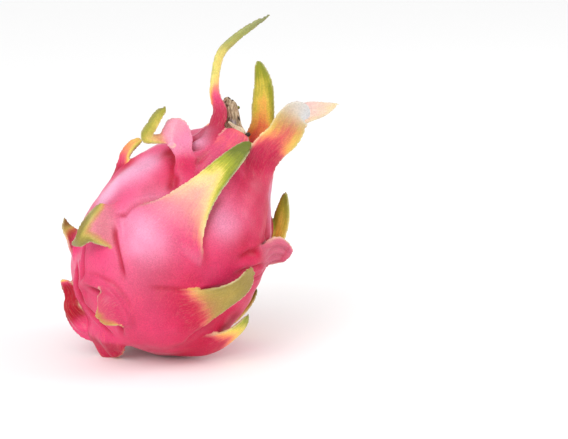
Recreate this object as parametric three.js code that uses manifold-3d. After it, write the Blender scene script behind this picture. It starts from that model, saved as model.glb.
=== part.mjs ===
// Dragon fruit, whole and fresh, resting on its belly with its flower end up and to the right.
// Millimetres, +Z up, +Y away from the front. The origin is the middle of the flat spot that it rests on.
//
// The skin is a stout spindle about a leaning axis. Places on it are given as
//   along  - millimetres along the axis from the middle of the fruit, towards the flower end,
//   around - degrees round the axis, 0 at the front and 90 at the lower right,
//   lift   - millimetres out from the skin, or out from the axis past the ends of the fruit.
// Each scale is a blade carried along a smooth midrib. It starts under the skin as a swollen plate,
// leaves the skin at its shoulder, and runs out as a strap to its tip.
import * as THREE from 'three';
import { mergeVertices } from 'three/addons/utils/BufferGeometryUtils.js';
import Module from 'manifold-3d';

const wasm = await Module();
wasm.setup();

// ---------------------------------------------------------------- driving dimensions
const HALF_LENGTH = 61;          // from the middle of the fruit to either end of its skin
const GIRTH_RADIUS = 45.5;       // largest radius, before the taper
const TAPER = 0.18;              // how much slimmer it is towards the flower end
const NECK = 0.30;               // how sharply it draws in close to the flower end
const AXIS_TILT = THREE.MathUtils.degToRad(58.8);  // of the axis above the level
const NECK_LEAN = -4;            // how far the flower end leans back over the fruit
const MIDDLE = new THREE.Vector3(3.5, 0, 60.4);    // middle of the fruit, from the rest spot
const BODY_ROUND = 44;           // facets round the skin
const BODY_LONG = 26;            // facets from end to end of the skin

const EDGE_THICKNESS = 1.1;      // of a scale at its margin
const STEPS_PER_SPAN = 2;        // rings of facets between two stations of a scale
const HALF_STRIPS = 2;           // strips of facets either side of the midrib
const TIP_ROUNDING = 8;          // the higher, the later and rounder a scale's tip closes

const GAP = 0.3;                 // clearance round the pieces that sit in the skin
const NAVEL_RADIUS = 8;          // of the dried flower's foot
const NAVEL_FLOOR = 55;          // along, where that foot rests
const NAVEL_TOP = 66;            // along, how far out the navel is kept clear
const STUB_RADIUS = 4.6;         // of the cut woody stub
const STUB_FLOOR = -57;          // along, where the stub leaves the flesh
const STUB_END = -63.5;          // along, its cut face
const STUB_CHAMFER = 0.9;        // round the cut face, and the stub's narrowing at its foot
const HOLLOW_END = -80;          // along, how far out the stub's hollow is kept clear
const GROUND_BLOCK = 400;        // size of the block that trims the rest spot flat
const FACETS = 14;               // round the dried flower, the stub and their hollows
const SAME_SPOT = 1e-4;          // points closer than this are one

// ---------------------------------------------------------------- places on the fruit
const FLOWERWARD = new THREE.Vector3(Math.cos(AXIS_TILT), 0, Math.sin(AXIS_TILT));
const FRONT = new THREE.Vector3(0, -1, 0);
const LOWER_RIGHT = new THREE.Vector3(Math.sin(AXIS_TILT), 0, -Math.cos(AXIS_TILT));

function skinRadius(along) {
  const t = THREE.MathUtils.clamp(along / HALF_LENGTH, -1, 1);
  return GIRTH_RADIUS * Math.sqrt(1 - t * t) * (1 - TAPER * t - NECK * t ** 3);
}

function outward(around) {
  const angle = THREE.MathUtils.degToRad(around);
  return FRONT.clone().multiplyScalar(Math.cos(angle)).addScaledVector(LOWER_RIGHT, Math.sin(angle));
}

function place(along, around, lift) {
  const lean = NECK_LEAN * Math.max(0, along / HALF_LENGTH) ** 2;
  return MIDDLE.clone()
    .addScaledVector(FLOWERWARD, along)
    .addScaledVector(LOWER_RIGHT, lean)
    .addScaledVector(outward(around), skinRadius(along) + lift);
}

// ---------------------------------------------------------------- solids
function closedGeometry(points, triangles) {
  const geometry = new THREE.BufferGeometry();
  geometry.setAttribute('position', new THREE.Float32BufferAttribute(points.flatMap((p) => p.toArray()), 3));
  geometry.setIndex(triangles.flat());
  return geometry;
}

function solid(geometry) {
  const bare = geometry.clone();
  bare.deleteAttribute('normal');
  bare.deleteAttribute('uv');
  const merged = mergeVertices(bare, SAME_SPOT);
  return new wasm.Manifold(new wasm.Mesh({
    numProp: 3,
    vertProperties: Float32Array.from(merged.attributes.position.array),
    triVerts: Uint32Array.from(merged.index.array),
  }));
}

function geometryOf(manifold) {
  const mesh = manifold.getMesh();
  const geometry = new THREE.BufferGeometry();
  geometry.setAttribute('position', new THREE.BufferAttribute(Float32Array.from(mesh.vertProperties), 3));
  geometry.setIndex(new THREE.BufferAttribute(Uint32Array.from(mesh.triVerts), 1));
  const merged = mergeVertices(geometry, SAME_SPOT);
  merged.computeVertexNormals();
  return merged;
}

// The skin: a sphere whose every point is moved to its place along and around the fruit.
function skinSolid() {
  const sphere = new THREE.SphereGeometry(1, BODY_ROUND, BODY_LONG);
  const points = sphere.attributes.position;
  const unit = new THREE.Vector3();
  for (let i = 0; i < points.count; i += 1) {
    unit.fromBufferAttribute(points, i);
    const around = THREE.MathUtils.radToDeg(Math.atan2(unit.x, unit.z));
    const along = HALF_LENGTH * THREE.MathUtils.clamp(unit.y, -1, 1);
    const spot = place(along, around, 0);
    points.setXYZ(i, spot.x, spot.y, spot.z);
  }
  return solid(sphere);
}

// A scale: stations [along, around, lift, half width, roll, cup, thickness].
// Roll turns the blade about its midrib. Cup bends it across: its margins lie this many degrees
// off its midrib, towards the skin where cup is above zero and away from it where it is below.
function scaleSolid(stations) {
  const midrib = new THREE.CatmullRomCurve3(
    stations.map(([along, around, lift]) => place(along, around, lift)), false, 'catmullrom', 0.5);
  const form = new THREE.CatmullRomCurve3(
    stations.map(([, , , width, roll, cup]) => new THREE.Vector3(width, roll, cup)), false, 'catmullrom', 0.5);
  const body = new THREE.CatmullRomCurve3(
    stations.map((station) => new THREE.Vector3(station[6], 0, 0)), false, 'catmullrom', 0.5);
  const rings = (stations.length - 1) * STEPS_PER_SPAN;
  const side = midrib.getTangent(0).cross(outward(stations[0][1]));
  const outer = [];
  const inner = [];
  for (let ring = 0; ring <= rings; ring += 1) {
    const s = ring / rings;
    const centre = midrib.getPoint(s);
    const forward = midrib.getTangent(s);
    const { x: width, y: roll, z: cup } = form.getPoint(s);
    const thickness = body.getPoint(s).x;
    side.addScaledVector(forward, -side.dot(forward)).normalize();
    const across = side.clone().applyAxisAngle(forward, THREE.MathUtils.degToRad(roll));
    const face = across.clone().cross(forward).normalize();
    const halfWidth = Math.max(width * Math.sqrt(Math.max(1 - s ** TIP_ROUNDING, 0)), 0.5);
    const bend = THREE.MathUtils.degToRad(Math.abs(cup) < 1 ? 1 : cup);
    for (let strip = -HALF_STRIPS; strip <= HALF_STRIPS; strip += 1) {
      const u = strip / HALF_STRIPS;
      const half = (EDGE_THICKNESS + (thickness - EDGE_THICKNESS) * (1 - u * u)) / 2;
      const middle = centre.clone()
        .addScaledVector(across, halfWidth * Math.sin(bend * u) / bend)
        .addScaledVector(face, -halfWidth * (1 - Math.cos(bend * u)) / bend);
      const normal = face.clone()
        .multiplyScalar(Math.cos(bend * u))
        .addScaledVector(across, Math.sin(bend * u));
      outer.push(middle.clone().addScaledVector(normal, half));
      inner.push(middle.clone().addScaledVector(normal, -half));
    }
  }
  return solid(bladeGeometry(outer, inner, rings, 2 * HALF_STRIPS));
}

// Both faces of a blade are split along the same diagonals, so that they can't cross.
function bladeGeometry(outer, inner, rings, strips) {
  const row = strips + 1;
  const below = outer.length;
  const triangles = [];
  const quad = (a, b, c, d) => triangles.push([a, b, c], [a, c, d]);
  for (let ring = 0; ring < rings; ring += 1) {
    for (let strip = 0; strip < strips; strip += 1) {
      const a = ring * row + strip;
      const b = a + 1;
      const c = b + row;
      const d = a + row;
      quad(a, b, c, d);
      triangles.push([below + a, below + c, below + b], [below + a, below + d, below + c]);
    }
    const left = ring * row;
    const right = left + strips;
    quad(left, left + row, below + left + row, below + left);
    quad(right + row, right, below + right, below + right + row);
  }
  const tip = rings * row;
  for (let strip = 0; strip < strips; strip += 1) {
    quad(strip + 1, strip, below + strip, below + strip + 1);
    quad(tip + strip, tip + strip + 1, below + tip + strip + 1, below + tip + strip);
  }
  return closedGeometry([...outer, ...inner], triangles);
}

// ---------------------------------------------------------------- scales, each by its own shape
const SHOWN_SCALES = {
  front: [
    [-16, -15, -4, 19, 0, 26, 5],
    [-3, -14, -0.5, 22, 0, 28, 5],
    [8, -13, 1.5, 21, 0, 26, 4.5],
    [20, -11, 3, 13, 0, 16, 3.5],
    [34, -7, 5, 8, 0, 6, 3],
    [49, 3, 8, 5.5, 0, 0, 2.6],
    [60.5, 26, 13.5, 3.4, 0, 0, 2],
  ],
  front_crown: [
    [14, -22, -4, 10, 0, 18, 4],
    [30, -19, -0.8, 11, 0, 24, 4],
    [44, -15, 1, 10, 0, 28, 3.4],
    [55, -5, 4, 8, 0, 30, 3],
    [61.6, 3, 9.4, 6.4, 0, 20, 2.4],
  ],
  right_crown: [
    [10, 36, -4, 15, 0, 24, 5],
    [26, 40, -0.5, 16, 0, 26, 5],
    [40, 47, 1, 12, 0, 24, 4],
    [51, 54, 4, 9.5, -15, 14, 3.4],
    [62, 55, 21.5, 9, -30, 6, 3],
    [71, 55, 25.5, 8.8, -35, 4, 2.8],
    [80, 55, 27, 8.2, -35, 8, 2.6],
    [85, 56, 28.8, 7, -35, 12, 2.2],
    [86, 62, 33.2, 5, -35, 12, 2],
  ],
  upright: [
    [36, 140, -3, 11, 0, 24, 4],
    [49, 138, 1, 9, 10, 20, 3.5],
    [57, 136, 9.1, 8, 22, 10, 3],
    [67, 134, 15, 6, 45, 0, 3],
    [76, 134, 10, 5.8, 50, 0, 2.8],
    [86, 134, 4, 4.6, 50, 0, 2.4],
    [95, 134, -5, 2, 50, 0, 2],
  ],
  long_curl: [
    [36, -38, -3, 9, 0, 20, 4],
    [47, -44, 0.5, 8, 0, 24, 3.4],
    [56, -57, 3, 5.4, 0, 20, 3],
    [64, -60, 13.8, 4, 12, 10, 2.6],
    [69.5, -72, 18, 2.8, 35, 0, 2.4],
    [76, -82, 20.4, 2.2, 50, 0, 2.2],
    [87, -90, 22.1, 2.3, 50, 0, 2.2],
    [96, -94, 18.8, 2.2, 50, 0, 2],
    [105, -98, 13.4, 2.1, 50, 0, 2],
    [117, -100, 4.7, 1.7, 50, 0, 1.8],
  ],
  curled_flap: [
    [16, -17, -4, 6.5, 10, 14, 4],
    [28, -21, -1.6, 6.6, 20, 14, 4],
    [35, -28.5, 1.8, 6, 28, 12, 3.6],
    [41, -39, 5.5, 5.2, 26, 8, 3],
    [45.5, -47, 11.6, 6.6, 20, 4, 2.4],
    [47, -51, 16, 7.6, 18, 0, 2.4],
    [44.3, -54, 14.6, 5, 16, 0, 2.4],
    [41.3, -56, 13.1, 2.8, 12, 0, 2.4],
    [39, -57, 16.1, 2.6, 8, 0, 2.2],
    [39, -58, 18.9, 3.2, -24, 0, 2.2],
    [45, -58, 24, 2.9, -48, 0, 2],
    [51, -58, 29.2, 3, -50, 0, 2],
    [56, -58, 32.9, 2.6, -50, 0, 1.8],
  ],
  hook: [
    [-8, -92, -3, 9, 0, 16, 4],
    [1, -92, -2.8, 8.5, 12, 16, 4],
    [9, -91, -1.6, 6, 40, 12, 3.4],
    [15, -92, 1.2, 4, 60, 8, 2.8],
    [20, -94, 4.6, 3.2, 66, 0, 2.6],
    [26, -96, 6.4, 2.8, 68, 0, 2.4],
    [30, -98, 6, 2.2, 66, 0, 2],
  ],
  left_reflexed: [
    [2, -37, -5, 9, 0, 10, 4],
    [-4, -45, 0, 11, 0, 10, 4],
    [-7, -47, 4, 11.5, 0, 8, 3.2],
    [-11, -49, 7.5, 8.6, 0, 6, 2.6],
    [-15, -51, 9, 5.6, 0, 4, 2.4],
    [-21, -53, 9, 3, 0, 0, 2.2],
    [-27, -62, 7, 1.1, 0, 0, 1.8],
  ],
  far_left: [
    [-47, -78, -6, 7, -20, 10, 4],
    [-38, -82, -5, 7, -40, 14, 4],
    [-32, -84, -1.7, 7, -55, 18, 3.4],
    [-28, -86, 2, 5.5, -60, 14, 2.8],
    [-27, -90, 6.3, 3, -60, 0, 2.2],
    [-24, -92, 9.4, 1.2, -50, 0, 1.8],
  ],
  lower_left: [
    [-54, -42, -6, 9, 0, 10, 7],
    [-60, -48, 9, 8.5, -10, 6, 6],
    [-62, -58, 25, 7, -35, 14, 5],
    [-58, -64, 13, 6, -60, 24, 4],
    [-54, -67, 6, 5.8, -65, 24, 3.2],
    [-50, -69, 4, 6, -65, 18, 2.6],
    [-47, -70, 6, 4.4, -65, 10, 2.2],
  ],
  small_flap: [
    [-29, -11, -6, 8, 0, 20, 5],
    [-35, -15, -1, 12, 0, 38, 4.5],
    [-37, -17, 2.5, 12.5, 0, 42, 3.6],
    [-40, -19, 5, 10.5, 0, 32, 3],
    [-44, -21, 6.5, 6.5, 0, 16, 2.4],
    [-47, -25, 7.5, 1.6, 0, 0, 2],
  ],
  bottom: [
    [-52, -26, -4, 9, 0, 12, 7],
    [-60, -20, 10, 11, 0, 4, 7],
    [-65, -10, 17, 10, 0, 0, 5],
    [-67, 2, 16, 8.5, 0, 0, 3.4],
    [-67, 13, 15, 4, 0, 0, 2.4],
  ],
  sickle: [
    [-44, 6, -4, 17, 0, 22, 5],
    [-30, 14, 0, 18, 0, 24, 4.5],
    [-18, 24, 3, 11, 0, 14, 3.6],
    [-7, 33, 6, 6.5, 0, 6, 3],
    [3, 40, 8, 5, 0, 0, 2.6],
    [12, 45, 6, 3.4, 0, 0, 2],
  ],
  right_tip: [
    [-2, 108, -4, 12, 0, 20, 4.5],
    [12, 105, 1, 9, 10, 16, 4],
    [22, 101, 4, 5.4, 35, 6, 3],
    [33, 99, 7, 4.4, 50, 0, 2.4],
    [44, 99, 12, 1.6, 50, 0, 1.8],
  ],
  right_wrinkled: [
    [2, 50, -4, 11, 0, 16, 4],
    [13, 58, 1, 10, 0, 12, 3.6],
    [19, 68, 4, 8.5, 0, 6, 3],
    [20, 75, 7.4, 6.5, 0, 0, 2.6],
    [19, 80, 11.2, 4, 0, 0, 2.2],
  ],
  pale_back: [
    [30, 112, -4, 12, 0, 22, 4.5],
    [44, 109, 2, 11, 0, 16, 4],
    [58, 106, 12, 9, 0, 8, 3.2],
    [71, 103, 22, 7.5, 10, 0, 2.8],
    [82, 101, 28, 6.5, 20, 0, 2.4],
    [89, 101, 36.5, 5, 20, 0, 2.2],
    [96, 101, 44, 1.5, 20, 0, 1.8],
  ],
  behind_curl: [
    [28, -134, -4, 9, 0, 20, 4],
    [40, -138, -1, 8, 0, 16, 3.6],
    [49, -140, 0.6, 5.4, 0, 8, 3],
    [55, -142, 4.4, 3.8, 0, 0, 2.6],
    [60, -146, 8.4, 3, 0, 0, 2.4],
    [66, -152, 11.6, 2.6, 0, 0, 2.2],
    [69, -160, 8.5, 1.6, 0, 0, 2],
  ],
  far_shoulder: [
    [-12, 226, -4, 12, 0, 22, 5],
    [-1, 226, -0.5, 13, 0, 24, 4.5],
    [7, 226, 1.5, 11, 0, 20, 4],
    [15, 224, 3.5, 6.5, 0, 8, 3],
    [22, 221, 5, 4, 10, 0, 2.6],
    [29, 217, 6, 1.6, 10, 0, 2],
  ],
  rest_front: [
    [-50, 52, -4, 11, 0, 22, 5],
    [-40, 57, 1, 12, 0, 20, 4.5],
    [-30, 61, 4, 8, 0, 10, 3.6],
    [-21, 64, 5.5, 5, 0, 0, 2.8],
    [-13, 66, 5, 1.5, 0, 0, 2],
  ],
  rest_back: [
    [-50, 128, -4, 11, 0, 22, 5],
    [-40, 122, 1, 12, 0, 20, 4.5],
    [-29, 117, 4.5, 8, 0, 10, 3.6],
    [-19, 114, 6.5, 5, 0, 0, 2.8],
    [-10, 112, 7, 1.5, 0, 0, 2],
  ],
};

// ---------------------------------------------------------------- scales of the far side, by a rule
// They climb the skin by the golden angle, as leaves do round a stem. Those near the stem end are
// short and curve away, and those near the flower end are long straps.
const GOLDEN_ANGLE = 137.508;
const SPIRAL_TURNS_FROM = -50;   // along, the lowest scale of the spiral
const SPIRAL_TURNS_TO = 41;      // along, the highest
const SPIRAL_COUNT = 30;
const FAR_SIDE_MIDDLE = 180;     // around
const FAR_SIDE_REACH = 50;       // degrees either side of it
const LOWEST_ROOT = -56;         // along, no root starts nearer the stub
const NECK_CLEAR = 12;           // out, what a strap keeps clear of the dried flower
const SEED = 11;
const DRAW_FACTOR = 1664525;     // each draw is the last one times this, plus the step
const DRAW_STEP = 1013904223;
const DRAW_RANGE = 2 ** 32;
const FAR_REACH = { stemEnd: 17, flowerEnd: 32, vary: 0.25 };    // how far a scale runs past its shoulder
const FAR_STAND = { stemEnd: 8, flowerEnd: 13, vary: 0.5 };      // how far out its tip stands
const FAR_BREADTH = { ends: 10, girth: 15 };                     // half width of its plate
const FAR_SWAY = 16;             // degrees round the fruit, between the farthest tips either way
const FAR_ROLL = 30;             // degrees, between the most rolled blades either way

// Stations [offset, of reach, of sway, lift, of stand, of breadth, of roll, cup, thickness].
const FAR_FORM = [
  [-17, 0, 0, -4, 0, 0.85, 0, 22, 5],
  [-6, 0, 0, -0.5, 0, 1, 0, 24, 4.5],
  [0, 0.1, 0, 1.5, 0, 0.85, 0, 20, 4],
  [0, 0.35, 0.2, 1, 0.35, 0.5, 0.3, 8, 3],
  [0, 0.7, 0.6, 0, 0.75, 0.36, 1, 0, 2.6],
  [0, 1, 1, 0, 1, 0.13, 1, 0, 2],
];

function seededDraws(seed) {
  let state = seed;
  return () => {
    state = (state * DRAW_FACTOR + DRAW_STEP) % DRAW_RANGE;
    return state / DRAW_RANGE;
  };
}

function farScale(along, around, draw) {
  const height = (along + HALF_LENGTH) / (2 * HALF_LENGTH);
  const varied = ({ stemEnd, flowerEnd, vary }) => (
    THREE.MathUtils.lerp(stemEnd, flowerEnd, height) * (1 + vary * (draw() - 0.5)));
  const fullReach = varied(FAR_REACH);
  const fullStand = varied(FAR_STAND);
  const fullBreadth = THREE.MathUtils.lerp(FAR_BREADTH.ends, FAR_BREADTH.girth, Math.sin(Math.PI * height));
  const fullSway = FAR_SWAY * (draw() - 0.5);
  const fullRoll = FAR_ROLL * (draw() - 0.5);
  return FAR_FORM.map(([offset, reach, sway, lift, stand, breadth, roll, cup, thickness]) => {
    const spot = Math.max(along + offset + reach * fullReach, LOWEST_ROOT);
    const out = lift + stand * fullStand;
    const pastTheNeck = out > 0 ? Math.max(NECK_CLEAR - skinRadius(spot), 0) : 0;
    const side = around + sway * fullSway;
    return [spot, side, out + pastTheNeck, breadth * fullBreadth, roll * fullRoll, cup, thickness];
  });
}

function farScales() {
  const draw = seededDraws(SEED);
  const scales = [];
  for (let turn = 0; turn < SPIRAL_COUNT; turn += 1) {
    const along = THREE.MathUtils.lerp(SPIRAL_TURNS_FROM, SPIRAL_TURNS_TO, turn / (SPIRAL_COUNT - 1));
    const around = (turn * GOLDEN_ANGLE) % 360;
    if (Math.abs(around - FAR_SIDE_MIDDLE) < FAR_SIDE_REACH) {
      scales.push(farScale(along, around, draw));
    }
  }
  return scales;
}

// ---------------------------------------------------------------- what sits in the skin
// A round peg along the fruit's axis, given as [along, radius] pairs from foot to head.
function peg(profile, swell) {
  const outline = profile.map(([along, radius]) => new THREE.Vector2(radius > 0 ? radius + swell : 0, along));
  const lathe = new THREE.LatheGeometry(outline, FACETS);
  const points = lathe.attributes.position;
  for (let i = 0; i < points.count; i += 1) {
    const spot = new THREE.Vector3()
      .addScaledVector(FRONT, points.getX(i))
      .addScaledVector(LOWER_RIGHT, -points.getZ(i));
    const along = points.getY(i);
    spot.add(place(along, 0, -skinRadius(along)));
    points.setXYZ(i, spot.x, spot.y, spot.z);
  }
  return solid(lathe);
}

// The dried flower: a withered, ribbed twist of tissue on a round foot, leaning over as it rises.
// Stations [along, around, out, radius].
const DRIED_FLOWER = [
  [NAVEL_FLOOR + GAP, 0, 0, NAVEL_RADIUS],
  [57.5, 0, 0, NAVEL_RADIUS],
  [59, -90, 0.8, 6.3],
  [61.5, -90, 2.4, 4.9],
  [64.5, -90, 5.4, 4.4],
  [67, -90, 7, 4.1],
  [69.3, -90, 8.1, 3.3],
  [71.2, -90, 9, 2],
];
const DRIED_RIBS = 5;
const DRIED_RIB_DEPTH = 0.12;
const DRIED_TWIST = 0.5;         // radians from one station to the next
const RIBS_START = 2;            // the foot's own stations are plain

function driedFlowerSolid() {
  const rings = DRIED_FLOWER.length - 1;
  const column = new THREE.CylinderGeometry(1, 1, 1, FACETS, rings);
  const points = column.attributes.position;
  for (let i = 0; i < points.count; i += 1) {
    const ring = Math.round((points.getY(i) + 0.5) * rings);
    const [along, around, out, radius] = DRIED_FLOWER[ring];
    const angle = Math.atan2(points.getZ(i), points.getX(i));
    const wave = ring < RIBS_START ? 0 : DRIED_RIB_DEPTH * Math.cos(DRIED_RIBS * angle + DRIED_TWIST * ring);
    const size = radius * (1 + wave) * Math.hypot(points.getX(i), points.getZ(i));
    const spot = place(along, around, out - skinRadius(along))
      .addScaledVector(FRONT, size * Math.cos(angle))
      .addScaledVector(LOWER_RIGHT, -size * Math.sin(angle));
    points.setXYZ(i, spot.x, spot.y, spot.z);
  }
  return solid(column);
}

// ---------------------------------------------------------------- the finished pieces
const cylinder = (foot, head, radius) => peg([[foot, 0], [foot, radius], [head, radius], [head, 0]], GAP);
const navel = cylinder(NAVEL_FLOOR, NAVEL_TOP, NAVEL_RADIUS);
const hollow = cylinder(HOLLOW_END, STUB_FLOOR, STUB_RADIUS);
const stub = peg([
  [STUB_END, 0],
  [STUB_END, STUB_RADIUS - STUB_CHAMFER],
  [STUB_END + STUB_CHAMFER, STUB_RADIUS],
  [STUB_FLOOR - GAP, STUB_RADIUS - STUB_CHAMFER],
  [STUB_FLOOR - GAP, 0],
], 0);

let fruitSolid = skinSolid();
for (const stations of [...Object.values(SHOWN_SCALES), ...farScales()]) {
  fruitSolid = fruitSolid.add(scaleSolid(stations));
}
const ground = new THREE.BoxGeometry(GROUND_BLOCK, GROUND_BLOCK, GROUND_BLOCK);
ground.translate(0, 0, -GROUND_BLOCK / 2);
fruitSolid = fruitSolid.subtract(navel).subtract(hollow).subtract(solid(ground));

const group = new THREE.Group();

function addPiece(name, manifold, color, roughness) {
  const material = new THREE.MeshStandardMaterial({ color, roughness, metalness: 0 });
  const mesh = new THREE.Mesh(geometryOf(manifold), material);
  mesh.name = name;
  group.add(mesh);
}

addPiece('fruit', fruitSolid, 0xe0487a, 0.42);
addPiece('dried_flower', driedFlowerSolid(), 0x8a7458, 0.9);
addPiece('stem_stub', stub, 0x7d6a4a, 0.85);

export default group;
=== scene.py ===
# %% [markdown]
# # A whole dragon fruit
# A dragon fruit is a stout oval berry of a climbing cactus. Its skin is smooth, waxy and pink, and it
# carries leafy scales: each starts as a swollen plate in the skin, lifts off at its shoulder and runs
# out as a strap that turns peach, yellow and then olive green. The withered flower stays on top.
#
# The solid frame comes first. It holds the true sizes, and everything below is made in its coordinates.

import bmesh
import bpy
import numpy as np
from mathutils import Matrix, Vector


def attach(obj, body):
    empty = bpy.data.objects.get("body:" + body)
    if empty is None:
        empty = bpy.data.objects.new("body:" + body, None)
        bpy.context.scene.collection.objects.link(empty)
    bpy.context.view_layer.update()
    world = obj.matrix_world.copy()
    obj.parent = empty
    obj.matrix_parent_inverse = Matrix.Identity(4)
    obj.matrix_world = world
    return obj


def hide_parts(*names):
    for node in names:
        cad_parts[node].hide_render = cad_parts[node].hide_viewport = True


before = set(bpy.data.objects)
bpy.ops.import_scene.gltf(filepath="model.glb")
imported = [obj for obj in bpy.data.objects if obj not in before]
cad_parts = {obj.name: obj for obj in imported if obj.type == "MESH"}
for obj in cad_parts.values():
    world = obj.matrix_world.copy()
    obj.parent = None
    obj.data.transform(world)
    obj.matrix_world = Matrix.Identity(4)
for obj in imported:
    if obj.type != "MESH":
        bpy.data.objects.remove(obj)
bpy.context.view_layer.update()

# %% [markdown]
# ## Places on the fruit
# The skin is a spindle about a leaning axis. It is easiest to think of a place on it as three numbers:
# *along* the axis, *around* it in degrees from the front, and *lift* off the skin. They could be worked
# out in Blender with empties and curves, but one formula keeps every piece in step with the solids.
# Lengths are millimetres here, because the sizes of a fruit are easy to judge in them. They become
# metres when a mesh is made.

# %% measures of the fruit
MM = 0.001
HALF_LENGTH = 61.0              # from the middle of the fruit to either end of its skin
GIRTH_RADIUS = 45.5             # largest radius, before the taper
TAPER = 0.18                    # how much slimmer it is towards the flower
NECK = 0.30                     # how sharply it draws in close to the flower
AXIS_TILT = np.radians(58.8)    # of the axis above the level
NECK_LEAN = -4.0                # how far the flower end leans back over the fruit
MIDDLE = np.array([3.5, 0.0, 60.4])     # middle of the fruit, from the rest spot
FLOWERWARD = np.array([np.cos(AXIS_TILT), 0.0, np.sin(AXIS_TILT)])
FRONT = np.array([0.0, -1.0, 0.0])
LOWER_RIGHT = np.array([np.sin(AXIS_TILT), 0.0, -np.cos(AXIS_TILT)])


def skin_radius(along):
    """Radius of the skin: an ellipse's, made slimmer towards the flower by a line and a cubic term."""
    t = np.clip(np.asarray(along, float) / HALF_LENGTH, -1.0, 1.0)
    return GIRTH_RADIUS * np.sqrt(1.0 - t * t) * (1.0 - TAPER * t - NECK * t ** 3)


def neck_lean(along):
    """How far the axis leans at a place: it grows with the square of the way to the flower."""
    return NECK_LEAN * np.maximum(along / HALF_LENGTH, 0.0) ** 2


def outward(around):
    """Unit vector off the axis: cosine of the angle to the front plus its sine to the lower right."""
    angle = np.radians(np.asarray(around, float))[..., None]
    return np.cos(angle) * FRONT + np.sin(angle) * LOWER_RIGHT


def place(along, around, lift):
    """Middle, plus along the axis, plus the lean, plus radius and lift outward."""
    along, lift = np.asarray(along, float), np.asarray(lift, float)
    off_axis = (skin_radius(along) + lift)[..., None] * outward(around)
    return MIDDLE + along[..., None] * FLOWERWARD + neck_lean(along)[..., None] * LOWER_RIGHT + off_axis


def address(points):
    """The formula of place() turned round: along, around and lift of points given in millimetres."""
    offset = points - MIDDLE
    along = offset @ FLOWERWARD
    down_right = offset @ LOWER_RIGHT - neck_lean(along)
    forward = offset @ FRONT
    around = np.degrees(np.arctan2(down_right, forward))
    return along, around, np.hypot(down_right, forward) - skin_radius(along)


def smoothstep(low, high, value):
    """0 below low, 1 above high, and a soft S between them."""
    t = np.clip((value - low) / (high - low), 0.0, 1.0)
    return t * t * (3.0 - 2.0 * t)


print("girth (mm):", round(float(2 * skin_radius(np.linspace(-HALF_LENGTH, HALF_LENGTH, 400)).max()), 1))

# %% [markdown]
# ## Surfaces from rings
# Skin, scale, dried flower and stub are all tubes of some kind: rings of points, one after the other,
# with a pole closing each end. One helper turns such a stack of rings into a closed mesh whose faces
# point outwards, so no piece has a seam or an open end. A loft in the Geometry Nodes editor would do
# the same, but numpy computes every point of a ring stack at once.

# %% closed surfaces


def even_angles(count, offset=0.0):
    """Angles of the points round a ring, offset by a share of a step."""
    return 2 * np.pi * (np.arange(count) + offset) / count


def rings_off_axis(along, down_right, radius, angle):
    """Rings square to the axis, moved off it, with a radius at each angle from the front."""
    return (MIDDLE + along[..., None] * FLOWERWARD + down_right[..., None] * LOWER_RIGHT
            + (radius * np.cos(angle))[..., None] * FRONT + (radius * np.sin(angle))[..., None] * LOWER_RIGHT)


def with_poles(values):
    """The rows of a ring stack one after the other, then the means of its end rings for the poles."""
    return np.concatenate([values.reshape(-1, values.shape[-1]), values[[0, -1]].mean(axis=1)])


def closed_faces(rings, around):
    """Quads between neighbouring rings, wrapped round, and a fan of triangles to the pole at each end."""
    ring, spot = np.meshgrid(np.arange(rings - 1), np.arange(around), indexing="ij")
    beside = (spot + 1) % around
    quads = np.stack([ring * around + spot, ring * around + beside,
                      (ring + 1) * around + beside, (ring + 1) * around + spot], axis=-1).reshape(-1, 4)
    spots = np.arange(around)
    nexts = (spots + 1) % around
    first_pole, last_pole = rings * around, rings * around + 1
    last = (rings - 1) * around
    fans = np.concatenate([
        np.stack([np.full(around, first_pole), nexts, spots], axis=-1),
        np.stack([np.full(around, last_pole), last + spots, last + nexts], axis=-1)])
    return quads, fans


def closed_surface(stack):
    """Points and faces of a ring stack shaped (rings, around, 3), turned so that its volume is positive."""
    points = with_poles(stack)
    quads, fans = closed_faces(*stack.shape[:2])
    triangles = np.concatenate([quads[:, [0, 1, 2]], quads[:, [0, 2, 3]], fans])
    a, b, c = (points[triangles[:, k]] for k in range(3))
    if np.einsum("ij,ij->i", a, np.cross(b, c)).sum() < 0:
        quads, fans = quads[:, ::-1], fans[:, ::-1]
    return points, quads, fans


def joined(parts):
    """Several surfaces as one: points, quads, fans and point values, with the faces renumbered."""
    starts = np.cumsum([0] + [len(part[0]) for part in parts[:-1]])
    return [np.concatenate([rows + start * (field in (1, 2)) for rows, start in zip(column, starts)])
            for field, column in enumerate(zip(*parts))]


print("faces of a tube of 3 rings of 8:", sum(len(faces) for faces in closed_faces(3, 8)))

# %% meshes, and what their points carry


def in_scene(name, data):
    """A new object that shows the given data."""
    made = bpy.data.objects.new(name, data)
    bpy.context.scene.collection.objects.link(made)
    return made


def mesh_piece(name, points, quads, fans):
    """A mesh object at the origin whose points, given in millimetres, are stored in metres."""
    mesh = bpy.data.meshes.new(name)
    mesh.from_pydata((points * MM).tolist(), [], quads.tolist() + fans.tolist())
    mesh.shade_smooth()
    return in_scene(name, mesh)


def rows_of(collection, field, width, kind=np.float32):
    """One field of every vertex, edge or layer entry, as rows of numbers."""
    flat = np.empty(len(collection) * width, kind)
    collection.foreach_get(field, flat)
    return flat.reshape(-1, width)


def points_of(mesh):
    """All the vertices of a mesh, in millimetres."""
    return rows_of(mesh.vertices, "co", 3).astype(float) / MM


def normals_of(mesh):
    """Unit normals of all points."""
    return rows_of(mesh.vertices, "normal", 3).astype(float)


def edges_of(mesh):
    """Both ends of every edge."""
    return rows_of(mesh.edges, "vertices", 2, np.int32)


def colour_values(mesh, layer):
    """The four numbers that each point carries in a colour layer."""
    return rows_of(mesh.color_attributes[layer].data, "color", 4).astype(float)


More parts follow.
